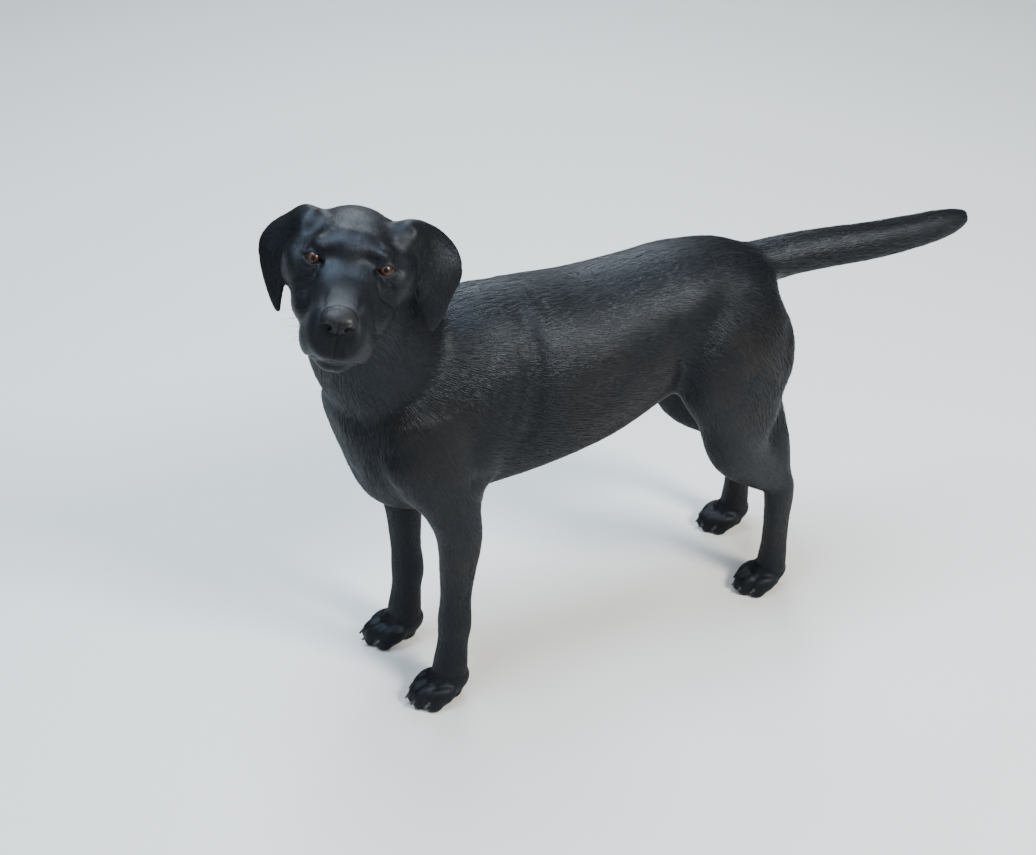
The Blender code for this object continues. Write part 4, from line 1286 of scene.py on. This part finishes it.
fur = {
    "black": (0.0036, 0.0037, 0.0042), "lift": (0.0075, 0.0078, 0.0092), "sun": (0.0200, 0.0140, 0.0098),
    "leather": (0.0100, 0.0092, 0.0090), "grey": (0.0500, 0.0480, 0.0460),
    "roughness": 0.40, "skinRoughness": 0.58, "specular": 0.24, "gloss": (0.74, 0.86, 1.0),
    "sheen": 0.012, "sheenTint": (0.62, 0.74, 1.0), "sheenRoughness": 0.40,
    # painted sunlight: brown patches where the sun lit the coat; centre in the dog's frame, inner and outer
    # reach, how much
    "sunlitPatches": [((0.110, 0.030, 0.420), 0.02, 0.16, 0.35), ((0.120, 0.230, 0.400), 0.02, 0.13, 0.55),
              ((0.105, -0.230, 0.420), 0.02, 0.13, 0.30), ((0.085, -0.215, 0.230), 0.01, 0.09, 0.50),
              ((-0.110, 0.030, 0.420), 0.02, 0.16, 0.25), ((-0.120, 0.230, 0.400), 0.02, 0.13, 0.40),
              ((0.090, 0.310, 0.120), 0.01, 0.09, 0.60), ((-0.080, 0.340, 0.120), 0.01, 0.09, 0.50)],
    # the same on the head, in the head's frame: a painted brown highlight on the crown, and grey on the chin
    "crown": ((0, 0.020, 0.040), 0.004, 0.022, 0.55), "chin": ((0.004, -0.094, -0.104), 0.003, 0.013, 0.5),
}


# Skin and tufts carry the same markings: black, with painted sunlight as brown patches where the sun fell
# and a painted highlight on the crown
def furFinish(name, underneath):
    paint = Paint(name)
    head = toFrame @ headPlace()
    crown, *crownReach = fur["crown"]
    spots = [(toFrame @ Vector(centre), *rest) for centre, *rest in fur["sunlitPatches"]]
    spots.append((head @ Vector(crown), *crownReach))
    # painted sunlight and highlight: the brown mask gathers the lit patches and the crown
    brown = None
    for centre, inner, outer, amount in spots:
        patch = paint.within(centre, inner, outer) * amount
        brown = patch if brown is None else brown.math("MAXIMUM", patch)
    brown = brown * paint.noise(14, 3).step(0.30, 0.62)
    streaks = paint.noise(420, 2).step(0.30, 0.75)
    colour = paint.blend(streaks * 0.8, fur["black"], fur["lift"])
    colour = paint.blend(brown, colour, fur["sun"])
    chin, inner, outer, amount = fur["chin"]
    colour = paint.blend(paint.within(head @ Vector(chin), inner, outer) * amount, colour, fur["grey"])
    height = paint.noise(1100, 2)
    if underneath:
        bare = paint.attribute("bare").step(0.2, 0.7)
        colour = paint.blend(bare, colour, fur["leather"])
        roughness = bare * -0.08 + fur["skinRoughness"]
    else:
        roughness = fur["roughness"] + (paint.noise(55, 3) - 0.5) * 0.16
    paint.set(Base_Color=colour, Roughness=roughness, Normal=paint.bump(height, 0.0004, 0.35),
              Sheen_Weight=fur["sheen"], Sheen_Tint=(*fur["sheenTint"], 1.0),
              Sheen_Roughness=fur["sheenRoughness"], Specular_IOR_Level=fur["specular"],
              Specular_Tint=(*fur["gloss"], 1.0))
    return paint.material


iris = {"pupil": (0.004, 0.003, 0.003), "inner": (0.056, 0.027, 0.017), "outer": (0.020, 0.0092, 0.006),
        "rim": (0.008, 0.005, 0.004), "white": (0.018, 0.012, 0.011)}


# Rings round the gaze: pupil, iris with faint rays, its dark rim, and the white
def eyeFinish():
    paint = Paint("eyes")
    place = paint.attribute("eyePlace", "Vector")
    flat = paint.node("VectorMath", {"operation": "MULTIPLY"}, Vector=place)
    flat.socket.node.inputs[1].default_value = (1.0, 1.0, 0.0)
    away = paint.node("VectorMath", {"operation": "LENGTH"}, output="Value", Vector=flat)
    rays = paint.noise(900, 3, place)
    colour = paint.blend(away.step(0.0022, 0.0060), iris["inner"], iris["outer"])
    colour = paint.blend(rays.step(0.35, 0.75) * 0.5, colour, iris["outer"])
    colour = paint.blend(1 - away.step(0.0026, 0.0031), colour, iris["pupil"])
    colour = paint.blend(away.step(0.0068, 0.0078), colour, iris["rim"])
    colour = paint.blend(away.step(0.0081, 0.0090), colour, iris["white"])
    return paint.set(Base_Color=colour, Roughness=0.35, Coat_Weight=0.4, Coat_Roughness=0.02, Coat_IOR=1.34,
                     Specular_IOR_Level=0.15)


# the inside colour is painted shade in the nostrils and slits
dampLeather = {"dark": (0.0030, 0.0031, 0.0036), "light": (0.0060, 0.0062, 0.0074),
               "inside": (0.003, 0.002, 0.002), "roughness": 0.34, "pebbles": 950.0, "pebbleDepth": 0.00018}


# Black leather with fine pebbles, with painted shade inside the nostrils and their slits
def noseFinish():
    paint = Paint("nose")
    pebbles = paint.node("TexVoronoi", {"feature": "DISTANCE_TO_EDGE"}, Vector=paint.place(),
                         Scale=dampLeather["pebbles"])
    inside = paint.attribute("nostrilShade")
    colour = paint.blend(paint.noise(160, 3).step(0.3, 0.7), dampLeather["dark"], dampLeather["light"])
    # painted shade: darker inside the nostrils and slits
    colour = paint.blend(inside, colour, dampLeather["inside"])
    roughness = dampLeather["roughness"] + paint.noise(300, 2) * 0.14
    return paint.set(Base_Color=colour, Roughness=roughness, Coat_Weight=0.06, Coat_Roughness=0.20,
                     Specular_IOR_Level=0.20,
                     Normal=paint.bump(pebbles.step(0.0, 0.25), dampLeather["pebbleDepth"], 0.7))


horn = {"dark": (0.010, 0.009, 0.009), "light": (0.035, 0.030, 0.027), "roughness": 0.32}


def clawFinish():
    paint = Paint("claws")
    colour = paint.blend(paint.noise(120, 3).step(0.35, 0.7), horn["dark"], horn["light"])
    return paint.set(Base_Color=colour, Roughness=horn["roughness"], Coat_Weight=0.3, Coat_Roughness=0.15)


# name of the finish, colour, roughness
whiskerLook = ("whisker", (0.012, 0.011, 0.011), 0.35)
floorLook = ("pale_floor", (0.62, 0.62, 0.60), 0.85)


def plainFinish(name, colour, roughness):
    return Paint(name).set(Base_Color=(*colour, 1.0), Roughness=roughness)


def dress(piece, finish):
    piece.data.materials.clear()
    piece.data.materials.append(finish)


skinFinish, tuftFinish = furFinish("skin_coat", True), furFinish("coat", False)
dress(skin, skinFinish)
for piece in coatPieces:
    dress(piece, tuftFinish)
eyeGloss = eyeFinish()
for piece in eyePieces.values():
    dress(piece, eyeGloss)
dress(noseLeather, noseFinish())
clawGloss = clawFinish()
for piece in clawPieces.values():
    dress(piece, clawGloss)
dress(whiskers, plainFinish(*whiskerLook))
print("finishes laid on")


flesh = [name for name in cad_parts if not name.startswith(("eye_", "claw_")) and name != "nose"]
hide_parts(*flesh)
for piece in (skin, *coatPieces, whiskers):
    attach(piece, "root")
for side, piece in eyePieces.items():
    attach(piece, "root")
    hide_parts("eye_" + side)
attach(noseLeather, "root")
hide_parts("nose")
for (place, side), piece in clawPieces.items():
    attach(piece, "root")
    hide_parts(*[f"claw_{place}_{side}_{number}" for number in range(1, 5)])

deselect()
bpy.ops.mesh.primitive_plane_add(size=60)
floor = bpy.context.object
floor.name = floor.data.name = "floor"
dress(floor, plainFinish(*floorLook))

light = {
    "world": ((0.86, 0.92, 1.0), 0.25), "aim": (0.0, 0.0, 0.40),
    # name, azimuth, elevation, distance, size, watts, colour
    "lamps": [("sky", -20, 74, 3.4, 2.2, 270, (0.68, 0.83, 1.0)),
              ("sun", 115, 40, 3.6, 1.0, 240, (1.0, 0.94, 0.86)),
              ("fill", 20, 22, 3.8, 2.4, 30, (0.92, 0.96, 1.0)),
              ("rim", -110, 38, 3.6, 1.6, 90, (0.86, 0.93, 1.0))],
}
world = bpy.context.scene.world or bpy.data.worlds.new("studio")
bpy.context.scene.world = world
world.use_nodes = True
backdrop = world.node_tree.nodes["Background"]
backdrop.inputs["Color"].default_value = (*light["world"][0], 1.0)
backdrop.inputs["Strength"].default_value = light["world"][1]


def towards(azimuth, elevation):
    a, e = math.radians(azimuth), math.radians(elevation)
    return Vector((math.sin(a) * math.cos(e), -math.cos(a) * math.cos(e), math.sin(e)))


for name, azimuth, elevation, distance, size, watts, colour in light["lamps"]:
    lamp = bpy.data.lights.new(name, "AREA")
    lamp.shape, lamp.size, lamp.energy, lamp.color = "DISK", size, watts, colour
    lampObject = bpy.data.objects.new(name, lamp)
    bpy.context.scene.collection.objects.link(lampObject)
    lampObject.location = Vector(light["aim"]) + towards(azimuth, elevation) * distance
    lampObject.rotation_euler = (-towards(azimuth, elevation)).to_track_quat("-Z", "Y").to_euler()

shot = {"azimuth": 64.0, "elevation": 32.5, "distance": 2.4352, "target": (-0.0371, -0.1800, 0.3616),
        "lens": 61.40, "sensor": 36.0, "nearest": 0.05}
camera = bpy.data.cameras.new("camera")
camera.lens, camera.sensor_width, camera.clip_start = shot["lens"], shot["sensor"], shot["nearest"]
cameraObject = bpy.data.objects.new("camera", camera)
bpy.context.scene.collection.objects.link(cameraObject)
back = towards(shot["azimuth"], shot["elevation"])
cameraObject.location = Vector(shot["target"]) + back * shot["distance"]
cameraObject.rotation_euler = (-back).to_track_quat("-Z", "Y").to_euler()
bpy.context.scene.camera = cameraObject
